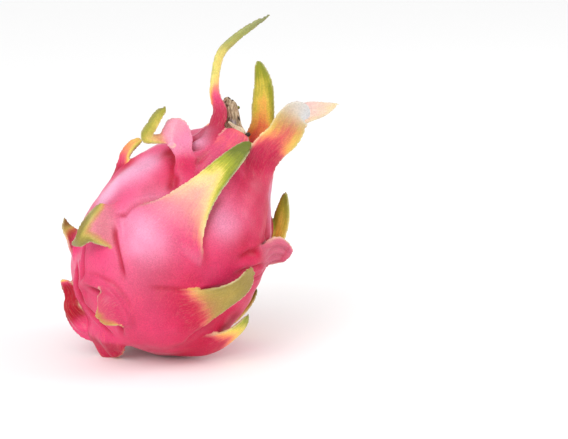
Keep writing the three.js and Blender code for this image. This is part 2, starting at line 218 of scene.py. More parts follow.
def set_points(mesh, points):
    """Puts millimetre points back into the mesh."""
    mesh.vertices.foreach_set("co", (points * MM).astype(np.float32).ravel())
    mesh.update()


def store_colours(mesh, layer, values):
    """Gives each point four numbers to carry into the material."""
    colours = mesh.color_attributes.new(layer, "FLOAT_COLOR", "POINT")
    colours.data.foreach_set("color", values.astype(np.float32).ravel())


def store_numbers(mesh, layer, values, kind="FLOAT", field="value"):
    """Gives each point a number, or with other words a vector."""
    numbers = mesh.attributes.new(layer, kind, "POINT")
    numbers.data.foreach_set(field, values.astype(np.float32).ravel())


print("lengths are stored in metres: 1 mm =", MM)

# %% [markdown]
# ## The shape of a scale
# A scale is a leaf: a midrib that rises out of the skin, and a blade that is wide and cupped where it
# hugs the fruit and narrows to a strap. It could be sculpted, or bent from a plane with curve
# modifiers. Here a smooth curve is laid through a few stations of the midrib, and a lens-shaped cross
# section is carried along it, so all the scales share one formula and keep their own characters. The
# margins wave a little, and some blades are pleated, because a fresh leaf is never a flat plate.

# %% a blade carried along its midrib
MARGIN = 1.2                    # mm thick at its edge
SLENDER = 0.80                  # how thin the free part is, against the swollen root
ROOT_ENDS = (0.20, 0.42)        # shares of the length between which a scale leaves the skin
LENS_POWER = 16                 # the higher, the blunter the edge of the cross section
TIP_ROUNDING = 14               # the higher, the later the tip closes
LEAST_HALF_WIDTH = 0.45         # mm, right at the tip
LEAST_THICKNESS = 0.65          # of the full thickness, right at the tip
SWAY = 0.40                     # mm that the margins wave to either side
SWAYS = 1.7                     # waves along a scale
PLEATS_SET_IN = (0.1, 0.35)     # shares of the length
PLEATS_RUN_OUT = (1.0, 0.75)
RINGS_PER_SPAN = 12
AROUND_BLADE = 48


def through(stations, share):
    """Catmull-Rom curve: each span is a cubic through its two stations, with slopes from their neighbours."""
    stations = np.asarray(stations, float)
    ends = np.vstack([2 * stations[0] - stations[1], stations, 2 * stations[-1] - stations[-2]])
    spans = len(stations) - 1
    span = np.minimum((share * spans).astype(int), spans - 1)
    w = (share * spans - span)[:, None]
    a, b, c, d = (ends[span + k] for k in range(4))
    square, cube = (2 * a - 5 * b + 4 * c - d) * w ** 2, (3 * b - a - 3 * c + d) * w ** 3
    return 0.5 * (2 * b + (c - a) * w + square + cube)


def carried_axes(midrib, off_skin, roll):
    """Across and normal at every ring: a side carried along the midrib without twist, then rolled."""
    forward = np.gradient(midrib, axis=0)
    forward /= np.linalg.norm(forward, axis=1, keepdims=True)
    side = np.cross(forward[0], off_skin)
    across = np.empty_like(forward)
    for ring, heading in enumerate(forward):
        side = side - heading * (side @ heading)
        side /= np.linalg.norm(side)
        across[ring] = side
    turn = np.radians(roll)[:, None]
    across = across * np.cos(turn) + np.cross(forward, across) * np.sin(turn)
    return across, np.cross(across, forward)


def blade(stations, phase=0.0, pleats=0, pleat_depth=0.0, tip_rounding=TIP_ROUNDING):
    """Ring stack of a scale, with the share along it, the place across it and the face of every point.

    Each ring is centre + across * width * sin(bend u) / bend - normal * width * (1 - cos(bend u)) / bend,
    an arc that cups the blade, and half the thickness is added on one face and taken on the other.
    The margins sway by the cube of u times a sine along the length, and pleats are a cosine across it."""
    stations = np.asarray(stations, float)
    share = np.linspace(0.0, 1.0, (len(stations) - 1) * RINGS_PER_SPAN + 1)
    midrib = through(place(*stations[:, :3].T), share)
    width, roll, cup, thickness = through(stations[:, 3:], share).T
    across, normal = carried_axes(midrib, outward(stations[0, 1]), roll)
    free = smoothstep(*ROOT_ENDS, share)
    thickness = thickness * (1.0 - (1.0 - SLENDER) * free)
    closing = np.sqrt(np.maximum(1.0 - share ** tip_rounding, 0.0))
    width = np.maximum(width * closing, LEAST_HALF_WIDTH)
    bend = np.radians(np.where(np.abs(cup) < 1.0, 1.0, cup))
    angle = even_angles(AROUND_BLADE, 0.5)
    u = np.cos(angle)
    face = np.sign(np.sin(angle)) * np.sqrt(1.0 - u ** LENS_POWER)
    arc = bend[:, None] * u
    swell = MARGIN + (thickness - MARGIN)[:, None] * (1.0 - u * u)
    half = 0.5 * swell * face * np.maximum(closing, LEAST_THICKNESS)[:, None]
    wave = SWAY * (free * np.sin(2 * np.pi * (SWAYS * share + phase)))
    pleat = pleat_depth * (smoothstep(*PLEATS_SET_IN, share) * smoothstep(*PLEATS_RUN_OUT, share))
    sway = wave[:, None] * u ** 3 + pleat[:, None] * np.cos(np.pi * pleats * u + 2 * np.pi * phase)
    reach = (width / bend)[:, None]
    stack = (midrib[:, None]
             + across[:, None] * ((reach + half) * np.sin(arc))[..., None]
             + normal[:, None] * (half * np.cos(arc) + sway - reach * (1.0 - np.cos(arc)))[..., None])
    return stack, *np.broadcast_arrays(share[:, None], u, face)


print("a scale has", RINGS_PER_SPAN, "rings to a span, of", AROUND_BLADE, "points each")

# %% [markdown]
# ## The scales, one by one
# The scales that give the fruit its character are placed one by one: the broad one across the front, the
# long curl, the upright strap, the reflexed ones at the stem end. A station holds along, around, lift,
# half width, roll, cup and thickness. The scales could be dragged into place in the viewport as curves,
# but numbers say the same here as in the solids, and one station moves without touching the others.

# %% scales of the side in view
SHOWN_SCALES = {
    "front": [
        [-16, -15, -4, 19, 0, 26, 5], [-3, -14, -0.5, 22, 0, 28, 5], [8, -13, 1.5, 21, 0, 26, 4.5],
        [20, -11, 3, 13, 0, 16, 3.5], [34, -7, 5, 8, 0, 6, 3], [49, 3, 8, 5.5, 0, 0, 2.6],
        [60.5, 26, 13.5, 3.4, 0, 0, 2]],
    "front_crown": [
        [14, -22, -4, 10, 0, 18, 4], [30, -19, -0.8, 11, 0, 24, 4], [44, -15, 1, 10, 0, 28, 3.4],
        [55, -5, 4, 8, 0, 30, 3], [61.6, 3, 9.4, 6.4, 0, 20, 2.4]],
    "right_crown": [
        [10, 36, -4, 15, 0, 24, 5], [26, 40, -0.5, 16, 0, 26, 5], [40, 47, 1, 12, 0, 24, 4],
        [51, 54, 4, 9.5, -15, 14, 3.4], [62, 55, 21.5, 9, -30, 6, 3], [71, 55, 25.5, 8.8, -35, 4, 2.8],
        [80, 55, 27, 8.2, -35, 8, 2.6], [85, 56, 28.8, 7, -35, 12, 2.2], [86, 62, 33.2, 5, -35, 12, 2]],
    "upright": [
        [36, 140, -3, 11, 0, 24, 4], [49, 138, 1, 9, 10, 20, 3.5], [57, 136, 9.1, 8, 22, 10, 3],
        [67, 134, 15, 6, 45, 0, 3], [76, 134, 10, 5.8, 50, 0, 2.8], [86, 134, 4, 4.6, 50, 0, 2.4],
        [95, 134, -5, 2, 50, 0, 2]],
    "long_curl": [
        [36, -38, -3, 9, 0, 20, 4], [47, -44, 0.5, 8, 0, 24, 3.4], [56, -57, 3, 5.4, 0, 20, 3],
        [64, -60, 13.8, 4, 12, 10, 2.6], [69.5, -72, 18, 2.8, 35, 0, 2.4], [76, -82, 20.4, 2.2, 50, 0, 2.2],
        [87, -90, 22.1, 2.3, 50, 0, 2.2], [96, -94, 18.8, 2.2, 50, 0, 2], [105, -98, 13.4, 2.1, 50, 0, 2],
        [117, -100, 4.7, 1.7, 50, 0, 1.8]],
    "curled_flap": [
        [16, -17, -4, 6.5, 10, 14, 4], [28, -21, -1.6, 6.6, 20, 14, 4], [35, -28.5, 1.8, 6, 28, 12, 3.6],
        [41, -39, 5.5, 5.2, 26, 8, 3], [45.5, -47, 11.6, 6.6, 20, 4, 2.4], [47, -51, 16, 7.6, 18, 0, 2.4],
        [44.3, -54, 14.6, 5, 16, 0, 2.4], [41.3, -56, 13.1, 2.8, 12, 0, 2.4], [39, -57, 16.1, 2.6, 8, 0, 2.2],
        [39, -58, 18.9, 3.2, -24, 0, 2.2], [45, -58, 24, 2.9, -48, 0, 2], [51, -58, 29.2, 3, -50, 0, 2],
        [56, -58, 32.9, 2.6, -50, 0, 1.8]],
    "hook": [
        [-8, -92, -3, 9, 0, 16, 4], [1, -92, -2.8, 8.5, 12, 16, 4], [9, -91, -1.6, 6, 40, 12, 3.4],
        [15, -92, 1.2, 4, 60, 8, 2.8], [20, -94, 4.6, 3.2, 66, 0, 2.6], [26, -96, 6.4, 2.8, 68, 0, 2.4],
        [30, -98, 6, 2.2, 66, 0, 2]],
    "left_reflexed": [
        [2, -37, -5, 9, 0, 10, 4], [-4, -45, 0, 11, 0, 10, 4], [-7, -47, 4, 11.5, 0, 8, 3.2],
        [-11, -49, 7.5, 8.6, 0, 6, 2.6], [-15, -51, 9, 5.6, 0, 4, 2.4], [-21, -53, 9, 3, 0, 0, 2.2],
        [-27, -62, 7, 1.1, 0, 0, 1.8]],
    "far_left": [
        [-47, -78, -6, 7, -20, 10, 4], [-38, -82, -5, 7, -40, 14, 4], [-32, -84, -1.7, 7, -55, 18, 3.4],
        [-28, -86, 2, 5.5, -60, 14, 2.8], [-27, -90, 6.3, 3, -60, 0, 2.2], [-24, -92, 9.4, 1.2, -50, 0, 1.8]],
    "lower_left": [
        [-54, -42, -6, 9, 0, 10, 7], [-60, -48, 9, 8.5, -10, 6, 6], [-62, -58, 25, 7, -35, 14, 5],
        [-58, -64, 13, 6, -60, 24, 4], [-54, -67, 6, 5.8, -65, 24, 3.2], [-50, -69, 4, 6, -65, 18, 2.6],
        [-47, -70, 6, 4.4, -65, 10, 2.2]],
    "small_flap": [
        [-29, -11, -6, 8, 0, 20, 5], [-35, -15, -1, 12, 0, 38, 4.5], [-37, -17, 2.5, 12.5, 0, 42, 3.6],
        [-40, -19, 5, 10.5, 0, 32, 3], [-44, -21, 6.5, 6.5, 0, 16, 2.4], [-47, -25, 7.5, 1.6, 0, 0, 2]],
    "bottom": [
        [-52, -26, -4, 9, 0, 12, 7], [-60, -20, 10, 11, 0, 4, 7], [-65, -10, 17, 10, 0, 0, 5],
        [-67, 2, 16, 8.5, 0, 0, 3.4], [-67, 13, 15, 4, 0, 0, 2.4]],
    "sickle": [
        [-44, 6, -4, 17, 0, 22, 5], [-30, 14, 0, 18, 0, 24, 4.5], [-18, 24, 3, 11, 0, 14, 3.6],
        [-7, 33, 6, 6.5, 0, 6, 3], [3, 40, 8, 5, 0, 0, 2.6], [12, 45, 6, 3.4, 0, 0, 2]],
    "right_tip": [
        [-2, 108, -4, 12, 0, 20, 4.5], [12, 105, 1, 9, 10, 16, 4], [22, 101, 4, 5.4, 35, 6, 3],
        [33, 99, 7, 4.4, 50, 0, 2.4], [44, 99, 12, 1.6, 50, 0, 1.8]],
    "right_wrinkled": [
        [2, 50, -4, 11, 0, 16, 4], [13, 58, 1, 10, 0, 12, 3.6], [19, 68, 4, 8.5, 0, 6, 3],
        [20, 75, 7.4, 6.5, 0, 0, 2.6], [19, 80, 11.2, 4, 0, 0, 2.2]],
    "pale_back": [
        [30, 112, -4, 12, 0, 22, 4.5], [44, 109, 2, 11, 0, 16, 4], [58, 106, 12, 9, 0, 8, 3.2],
        [71, 103, 22, 7.5, 10, 0, 2.8], [82, 101, 28, 6.5, 20, 0, 2.4], [89, 101, 36.5, 5, 20, 0, 2.2],
        [96, 101, 44, 1.5, 20, 0, 1.8]],
    "behind_curl": [
        [28, -134, -4, 9, 0, 20, 4], [40, -138, -1, 8, 0, 16, 3.6], [49, -140, 0.6, 5.4, 0, 8, 3],
        [55, -142, 4.4, 3.8, 0, 0, 2.6], [60, -146, 8.4, 3, 0, 0, 2.4], [66, -152, 11.6, 2.6, 0, 0, 2.2],
        [69, -160, 8.5, 1.6, 0, 0, 2]],
    "far_shoulder": [
        [-12, 226, -4, 12, 0, 22, 5], [-1, 226, -0.5, 13, 0, 24, 4.5], [7, 226, 1.5, 11, 0, 20, 4],
        [15, 224, 3.5, 6.5, 0, 8, 3], [22, 221, 5, 4, 10, 0, 2.6], [29, 217, 6, 1.6, 10, 0, 2]],
    "rest_front": [
        [-50, 52, -4, 11, 0, 22, 5], [-40, 57, 1, 12, 0, 20, 4.5], [-30, 61, 4, 8, 0, 10, 3.6],
        [-21, 64, 5.5, 5, 0, 0, 2.8], [-13, 66, 5, 1.5, 0, 0, 2]],
    "rest_back": [
        [-50, 128, -4, 11, 0, 22, 5], [-40, 122, 1, 12, 0, 20, 4.5], [-29, 117, 4.5, 8, 0, 10, 3.6],
        [-19, 114, 6.5, 5, 0, 0, 2.8], [-10, 112, 7, 1.5, 0, 0, 2]],
}
print("scales placed by hand:", len(SHOWN_SCALES))

# %% [markdown]
# ## How each scale ripens
# Every scale wears its own mix of a few habits, and a scale that isn't named has the usual ones:
# - *turning*: the shares of its length at which it leaves pink, is yellow and is olive green, then how
#   far the change runs ahead on its left and on its right margin,
# - *lead*: how narrow that head start is, the shares where it sets in, and what the tip keeps of it,
# - *blush*: the shares where it starts and ends, then lilac with painted highlight there, crimson
#   there, and crimson painted shade on its underside,
# - *pleats*: folds across the blade, and how deep they are in millimetres,
# - *pale margin*: the shares between which its thin edge turns pale,
# - *tip*: how square it ends, against the usual rounding.
#
# The colours could be painted on scale by scale. Tables are quicker to change, and they show at a glance
# how two scales differ.

# %% habits of the scales
TURNING = {
    "usual": (0.40, 0.70, 1.0, 0.15, 0.15), "front": (0.48, 0.72, 0.88, 0.06, 0.22),
    "front_crown": (0.30, 2.2, 3.0, 0.0, 0.0), "right_crown": (0.38, 0.92, 1.3, 0.40, 0.42),
    "upright": (0.16, 0.70, 1.08, 0.36, 0.22), "long_curl": (0.42, 0.54, 0.98, 0.12, 0.0),
    "curled_flap": (0.46, 0.66, 1.15, 0.30, -0.10), "hook": (0.52, 0.98, 1.6, 0.0, 0.62),
    "left_reflexed": (0.46, 0.66, 0.85, 0.30, 0.50), "far_left": (0.56, 0.70, 0.86, 0.0, 0.10),
    "lower_left": (0.94, 1.0, 1.05, 0.95, 0.0), "small_flap": (0.70, 1.02, 1.25, 0.55, 0.25),
    "bottom": (0.74, 0.98, 1.15, 0.3, 0.30), "sickle": (0.36, 0.62, 0.84, 0.14, 0.10),
    "right_tip": (0.0, 0.28, 1.3, 0.1, 0.45), "right_wrinkled": (0.96, 1.3, 1.6, 0.0, 0.12),
    "pale_back": (0.42, 0.86, 1.50, 0.45, -0.25)}
LEADS = {
    "usual": (1.5, 0.1, 0.5, 0.1), "right_crown": (1.4, 0.42, 0.62, 0.1),
    "lower_left": (14.0, 0.3, 0.6, 1.0), "small_flap": (3.5, 0.1, 0.4, 0.6),
    "right_wrinkled": (8.0, 0.1, 0.5, 0.1), "upright": (1.2, 0.1, 0.4, 0.3),
    "hook": (1.5, 0.3, 0.6, 0.8), "left_reflexed": (1.6, 0.1, 0.4, 0.5),
    "curled_flap": (1.5, 0.55, 0.7, 1.0), "sickle": (1.5, 0.2, 0.5, 0.3),
    "bottom": (6.0, 0.2, 0.5, 0.5)}
BLUSH = {
    "usual": (0.2, 0.6, 0.0, 0.1, 0.25), "front": (0.22, 0.36, 0.2, 0.0, 0.25),
    "front_crown": (0.30, 1.0, 0.12, 0.1, 0.25), "curled_flap": (0.20, 0.56, 0.5, 0.0, 0.25),
    "left_reflexed": (0.10, 0.60, 0.20, 0.15, 0.4), "hook": (0.10, 0.50, 0.0, 0.7, 0.6),
    "long_curl": (0.08, 0.40, 0.1, 0.65, 0.2), "right_crown": (0.15, 0.58, 0.0, 0.28, 0.2),
    "far_left": (0.20, 0.70, 0.3, 0.0, 0.7), "lower_left": (0.34, 0.94, 0.0, 1.0, 1.0),
    "bottom": (0.20, 0.95, 0.0, 0.6, 1.0), "right_wrinkled": (0.24, 0.80, 0.32, 0.3, 0.6),
    "upright": (0.05, 0.20, 0.0, 0.0, 0.0), "right_tip": (0.10, 0.25, 0.0, 0.0, 0.0),
    "pale_back": (0.30, 0.60, 0.3, 0.0, 0.0)}
PLEATS = {
    "usual": (0, 0.0), "lower_left": (2.2, 0.8), "bottom": (2.4, 0.6), "right_wrinkled": (3.6, 0.8),
    "small_flap": (1.4, 0.4), "long_curl": (2.6, 0.4), "right_crown": (1.4, 0.3), "hook": (2.0, 0.3),
    "pale_back": (2.0, 0.5)}
PALE_MARGINS = {"usual": (0.3, 0.5), "sickle": (0.42, 0.75)}
TIPS = {
    "usual": TIP_ROUNDING, "front_crown": 60, "right_wrinkled": 30, "upright": 40, "right_tip": 26,
    "front": 26}


def habit(table, name):
    """What a table says of a scale, or of the usual one."""
    return table.get(name, table["usual"])


print("scales that turn in their own way:", len(TURNING) - 1)

# %% [markdown]
# ## The scales of the far side
# The rest follow the way a plant grows: each new scale stands a golden angle round from the last. The
# small variations come from a seeded sequence, so the fruit is the same each time the script runs. They
# could be placed by hand as well, but nothing on the far side asks for one scale rather than another.

# %% scales by the rule of growth
GOLDEN_ANGLE = 137.508          # degrees from one scale to the next
SPIRAL_FROM, SPIRAL_TO, SPIRAL_COUNT = -50.0, 41.0, 30      # first and last place along, and how many
FAR_SIDE_MIDDLE, FAR_SIDE_REACH = 180.0, 50.0   # degrees round the fruit that the rule fills
LOWEST_ROOT = -56.0             # along, so that no root starts past the stem end
NECK_CLEAR = 12.0               # mm off the axis that the free part keeps, near the ends
REACH, REACH_MORE = 17.0, 15.0  # mm long at the stem end, and how much more at the flower end
STAND, STAND_MORE = 8.0, 5.0    # mm off the skin at its tip, likewise
BREADTH, BREADTH_MORE = 10.0, 5.0   # mm half width at the ends, and how much more in the middle
REACH_SPREAD, STAND_SPREAD = 0.25, 0.5      # shares by which scales differ
SWAY_SPREAD, ROLL_SPREAD = 16.0, 30.0       # degrees by which they differ
SEED = 11
FAR_FORM = np.array([       # offset, shares of reach and sway, lift, of stand, breadth, roll, cup, thickness
    [-17, 0, 0, -4, 0, 0.85, 0, 22, 5],
    [-6, 0, 0, -0.5, 0, 1, 0, 24, 4.5],
    [0, 0.1, 0, 1.5, 0, 0.85, 0, 20, 4],
    [0, 0.35, 0.2, 1, 0.35, 0.5, 0.3, 8, 3],
    [0, 0.7, 0.6, 0, 0.75, 0.36, 1, 0, 2.6],
    [0, 1, 1, 0, 1, 0.13, 1, 0, 2]])


def seeded_draws(seed):
    """Even numbers from 0 to 1: each state is the last one times a large number plus another, modulo 2^32."""
    state = seed
    while True:
        state = (state * 1664525 + 1013904223) % 2 ** 32
        yield state / 2 ** 32


def far_scale(along, around, draws):
    """Stations of a scale: the form's shares times its own reach, stand, sway and roll."""
    height = (along + HALF_LENGTH) / (2 * HALF_LENGTH)
    reach = (REACH + REACH_MORE * height) * (1 + REACH_SPREAD * (next(draws) - 0.5))
    stand = (STAND + STAND_MORE * height) * (1 + STAND_SPREAD * (next(draws) - 0.5))
    breadth = BREADTH + BREADTH_MORE * np.sin(np.pi * height)
    sway = SWAY_SPREAD * (next(draws) - 0.5)
    roll = ROLL_SPREAD * (next(draws) - 0.5)
    offset, of_reach, of_sway, lift, of_stand, of_breadth, of_roll, cup, thickness = FAR_FORM.T
    spot = np.maximum(along + offset + of_reach * reach, LOWEST_ROOT)
    out = lift + of_stand * stand
    past_the_neck = np.where(out > 0, np.maximum(NECK_CLEAR - skin_radius(spot), 0), 0)
    return np.stack([spot, around + of_sway * sway, out + past_the_neck,
                     of_breadth * breadth, of_roll * roll, cup, thickness], axis=-1)


draws = seeded_draws(SEED)
far_scales = {}
for turn in range(SPIRAL_COUNT):
    around = turn * GOLDEN_ANGLE % 360
    if abs(around - FAR_SIDE_MIDDLE) < FAR_SIDE_REACH:
        along = SPIRAL_FROM + (SPIRAL_TO - SPIRAL_FROM) * turn / (SPIRAL_COUNT - 1)
        far_scales[f"far_{turn}"] = far_scale(along, around, draws)
print("scales by rule:", len(far_scales))

# %% [markdown]
# ## What each point knows
# The skin's colour follows its growth, so each point carries twelve numbers into the material:
# - *form*: how ripe its colour is (0 pink, 0.5 yellow, 1 olive green), and how much of a thin margin, of
#   a tan edge that partly stands in for shade, and of a grey painted highlight on a waxy tip it is,
# - *touch*: how lilac with painted highlight, how crimson, how red with painted shade on its underside,
#   and how milky it is,
# - *flow*: the place across and along its scale for the fine veins, the scale's number, and whether it
#   belongs to the free part of the scale or still to the skin.
#
# The grey painted highlight, the tan with its painted shade, and milk set in between two shares of a
# scale's length, up to a strength of their own. Vertex paint could hold the same numbers, but the blade's
# own two parameters already say where its root, its tip and its margins are, so nothing has to be painted
# again when a scale moves.

# %% how the finishes run along a scale
PHASE_STEP = 0.37               # between one scale and the next, so that no two wave alike
THIN_EDGE = (0.84, 0.98)        # across a blade, where its thin margin begins and is full
LEAD_RUNS_OUT = (0.60, 0.90)    # shares of the length
BLUSH_RISE, BLUSH_FALL = 0.1, 0.08      # shares of the length over which a blush comes and goes
FADES = {                       # shares where a finish sets in and is full, and its strength
    # wax: a grey painted highlight on the tips of scales
    "wax_highlight": {
        "right_crown": (0.66, 0.98, 1.0), "long_curl": (0.42, 0.56, 0.12), "pale_back": (0.30, 0.50, 0.35)},
    # tan: a tan colour, also painted shade on scales that face away from the light
    "tan_and_shade": {
        "sickle": (0.30, 0.55, 0.85), "left_reflexed": (0.10, 0.40, 0.65), "small_flap": (0.40, 0.80, 0.6),
        "far_left": (0.50, 0.65, 0.5), "hook": (0.50, 0.70, 0.3), "curled_flap": (0.50, 0.60, 0.35),
        "long_curl": (0.50, 0.70, 0.12), "right_crown": (0.50, 0.75, 0.6)},
    "milk": {
        "front": (0.34, 0.60, 0.45), "curled_flap": (0.30, 0.45, 0.3), "left_reflexed": (0.10, 0.30, 0.15),
        "pale_back": (0.10, 0.40, 0.8)},
}
NO_FADE = (0.0, 1.0, 0.0)


def ripeness_of(name, share, u):
    """Colour stage: pink, yellow and green shares of the length, reached sooner near the margins."""
    pink, yellow, green, left, right = habit(TURNING, name)
    narrowness, sets_in, is_full, kept = habit(LEADS, name)
    lead = left * np.maximum(-u, 0) ** narrowness + right * np.maximum(u, 0) ** narrowness
    towards_tip = 1.0 - (1.0 - kept) * smoothstep(*LEAD_RUNS_OUT, share)
    stage = share + lead * smoothstep(sets_in, is_full, share) * towards_tip
    return np.interp(stage, [pink, yellow, green], [0.0, 0.5, 1.0])


def faded(finish, name, share):
    """How strong a finish is along a scale: an S curve between its two shares, times its full strength."""
    begins, is_full, amount = FADES[finish].get(name, NO_FADE)
    return amount * smoothstep(begins, is_full, share)


def blush_of(name, share, face):
    """Lilac with painted highlight and crimson, each at its own strength between the blush's shares, and red
    painted shade beneath.
    """
    begins, ends_at, lilac_and_highlight, crimson, shade_beneath = habit(BLUSH, name)
    blushing = (smoothstep(begins, begins + BLUSH_RISE, share)
                * smoothstep(ends_at + BLUSH_FALL, ends_at - BLUSH_FALL, share))
    return lilac_and_highlight * blushing, crimson * blushing, shade_beneath * (0.5 - 0.5 * face)


print("red beneath the lower left scale:", habit(BLUSH, "lower_left")[-1])

# %% grow the skin and the scales
SKIN_RINGS, SKIN_AROUND = 150, 220


def skin_stack():
    """Ring stack of the bare skin: place() at even steps of the polar angle, so the ends stay round."""
    polar = np.pi * (np.arange(SKIN_RINGS) + 0.5) / SKIN_RINGS
    along = -HALF_LENGTH * np.cos(polar)
    around = 360.0 * np.arange(SKIN_AROUND) / SKIN_AROUND
    return place(*np.broadcast_arrays(along[:, None], around[None], 0.0))


def scale_surface(number, name, stations):
    """Points, quads and fans of one scale, then its form, flow and touch."""
    stack, share, u, face = blade(stations, PHASE_STEP * number, *habit(PLEATS, name), habit(TIPS, name))
    margin = smoothstep(*THIN_EDGE, np.abs(u)) * smoothstep(*habit(PALE_MARGINS, name), share)
    tan_and_shade, wax_highlight, milk = (faded(finish, name, share) for finish in ("tan_and_shade", "wax_highlight", "milk"))
    form = np.stack([ripeness_of(name, share, u), margin, tan_and_shade, wax_highlight], axis=-1)
    touch = np.stack([*blush_of(name, share, face), milk], axis=-1)
    length = np.linalg.norm(np.diff(stack.mean(axis=1), axis=0), axis=1).sum()
    width = np.asarray(stations, float)[:, 3].mean()
    which, free = np.full_like(share, number), smoothstep(*ROOT_ENDS, share)
    flow = np.stack([u * width, share * length, which, free], axis=-1)
    return *closed_surface(stack), with_poles(form), with_poles(flow), with_poles(touch)


bare = closed_surface(skin_stack())
blank = np.zeros((len(bare[0]), 4))
surfaces = [(*bare, blank, blank, blank)]
for number, (name, stations) in enumerate({**SHOWN_SCALES, **far_scales}.items()):
    surfaces.append(scale_surface(number, name, stations))
points, quads, fans, form, flow, touch = joined(surfaces)
growth = mesh_piece("growth", points, quads, fans)
for layer, values in (("form", form), ("flow", flow), ("touch", touch)):
    store_colours(growth.data, layer, values)
print("growth:", len(points), "points in", len(surfaces), "closed surfaces")

# %% [markdown]
# ## One skin
# On the plant the scales and the skin are one tissue, so the overlapping surfaces are made one as well.
# A Boolean union would leave hard seams and slivers. A voxel remesh wraps everything in even quads
# instead, and then the points are smoothed and drawn back onto the true surfaces with Shrinkwrap. The
# remesh also leaves a few crumbs where a pocket is smaller than a voxel, so only the largest part stays.

# %% tools for smoothing
STEP_FORTH = 0.5                # of the way to the neighbours' mean
STEP_BACK_MORE = 0.03           # how much longer the step back is


def evaluated(piece, name):
    """A new mesh of the piece as its modifiers leave it."""
    graph = bpy.context.evaluated_depsgraph_get()
    mesh = bpy.data.meshes.new_from_object(piece.evaluated_get(graph), depsgraph=graph)
    mesh.name = name
    return mesh


def keep_largest_part(mesh):
    """Drops the crumbs: each point takes the lowest label near it until every part has one of its own."""
    edges = edges_of(mesh)
    label = np.arange(len(mesh.vertices))
    settled = False
    while not settled:
        lower = label.copy()
        np.minimum.at(lower, edges[:, 0], label[edges[:, 1]])
        np.minimum.at(lower, edges[:, 1], label[edges[:, 0]])
        lower = lower[lower]
        settled = np.array_equal(lower, label)
        label = lower
    crumb = label != np.bincount(label).argmax()
    shell = bmesh.new()
    shell.from_mesh(mesh)
    bmesh.ops.delete(shell, geom=[point for point in shell.verts if crumb[point.index]], context="VERTS")
    shell.to_mesh(mesh)
    shell.free()
    print("crumbs dropped:", int(crumb.sum()), "points")


def neighbour_mean(values, edges):
    """Mean of the values at the points that share an edge with each point."""
    total = np.zeros_like(values)
    count = np.bincount(edges.ravel(), minlength=len(values)).astype(float)
    for near, far in (edges.T, edges[:, ::-1].T):
        for axis in range(values.shape[1]):
            total[:, axis] += np.bincount(near, weights=values[far, axis], minlength=len(values))
    return total / np.maximum(count, 1.0)[:, None]


def relaxed(points, edges, rounds):
    """Taubin smoothing: a step towards the neighbours' mean, then a slightly larger step back."""
    for _ in range(rounds):
        points = points + STEP_FORTH * (neighbour_mean(points, edges) - points)
        points = points - (STEP_FORTH + STEP_BACK_MORE) * (neighbour_mean(points, edges) - points)
    return points


def sunk_in(points, edges, rounds, step):
    """Plain smoothing: each point goes the given part of the way to its neighbours' mean."""
    for _ in range(rounds):
        points = points + step * (neighbour_mean(points, edges) - points)
    return points


def blurred(values, edges, rounds):
    """One number a point, replaced by its neighbours' mean a few times over."""
    for _ in range(rounds):
        values = neighbour_mean(values[:, None], edges)[:, 0]
    return values


pair = np.array([[0, 1]])
print("a pair of values after one blur:", blurred(np.array([0.0, 1.0]), pair, 1))

# %% fuse and smooth
VOXEL = 0.885 * MM
SMOOTH_ROUNDS = 6

remesh = growth.modifiers.new("one_skin", "REMESH")
remesh.mode = "VOXEL"
remesh.voxel_size = VOXEL
remesh.adaptivity = 0.0
fused = evaluated(growth, "fused")
growth.modifiers.remove(remesh)
keep_largest_part(fused)
set_points(fused, relaxed(points_of(fused), edges_of(fused), SMOOTH_ROUNDS))
print("fused skin:", len(fused.vertices), "points,", len(fused.polygons), "faces")

# %% draw back onto the growth
ROUNDS_AFTER_WRAP = 2

skin = in_scene("fruit_skin", fused)
for layer in ("form", "flow", "touch"):
    fused.color_attributes.new(layer, "FLOAT_COLOR", "POINT")
wrap = skin.modifiers.new("draw_back", "SHRINKWRAP")
wrap.target = growth
wrap.wrap_method = "NEAREST_SURFACEPOINT"
carry = skin.modifiers.new("carry_growth", "DATA_TRANSFER")
carry.object = growth
carry.use_vert_data = True
carry.data_types_verts = {"COLOR_VERTEX"}
carry.vert_mapping = "POLYINTERP_NEAREST"
drawn = evaluated(skin, "fruit_skin")
skin.modifiers.clear()
skin.data = drawn
bpy.data.meshes.remove(fused)
bpy.data.objects.remove(growth)
edges = edges_of(drawn)
points = relaxed(points_of(drawn), edges, ROUNDS_AFTER_WRAP)
flow = colour_values(drawn, "flow")
print("skin drawn back:", len(points), "points")

# %% [markdown]
# ## Roots that melt into the skin
# A scale has no lower edge: its root is a swelling of the skin itself. Plain smoothing takes away every
# step it meets, so it is done only where the surface is still skin. The free blades hold still, and the
# skin flows up to them in soft fillets. A sculptor would use a smooth brush in the same places.

# %% melt the roots
MELT_ROUNDS = 54
MELT_STEP = 0.62                # of the way to the neighbours' mean, where the surface is all skin
ROOT_LIFT = (3.5, 6.5)          # mm off the skin, between which the melting fades out
LOOSE_BLUR = 4

along, around, lift = address(points)
loose = blurred(np.maximum(flow[:, 3], smoothstep(*ROOT_LIFT, lift)), edges, LOOSE_BLUR)
melt = (MELT_STEP * (1.0 - loose))[:, None]
points = sunk_in(points, edges, MELT_ROUNDS, melt)
print("melted points:", int((melt > 0.5).sum()))

# %% [markdown]
# ## Folds and swellings
# Under its growing scales the skin is drawn into folds, and between the folds it swells like a cushion.
# Each fold is a line of a few places on the fruit. The skin sinks along it and rises a little on both
# sides, which is how a real crease looks, and where one plate lies over another it also steps down to
# one side. Folds are cut only into the skin itself, not into the free blades above it. A Displace
# modifier with a painted map would also work.

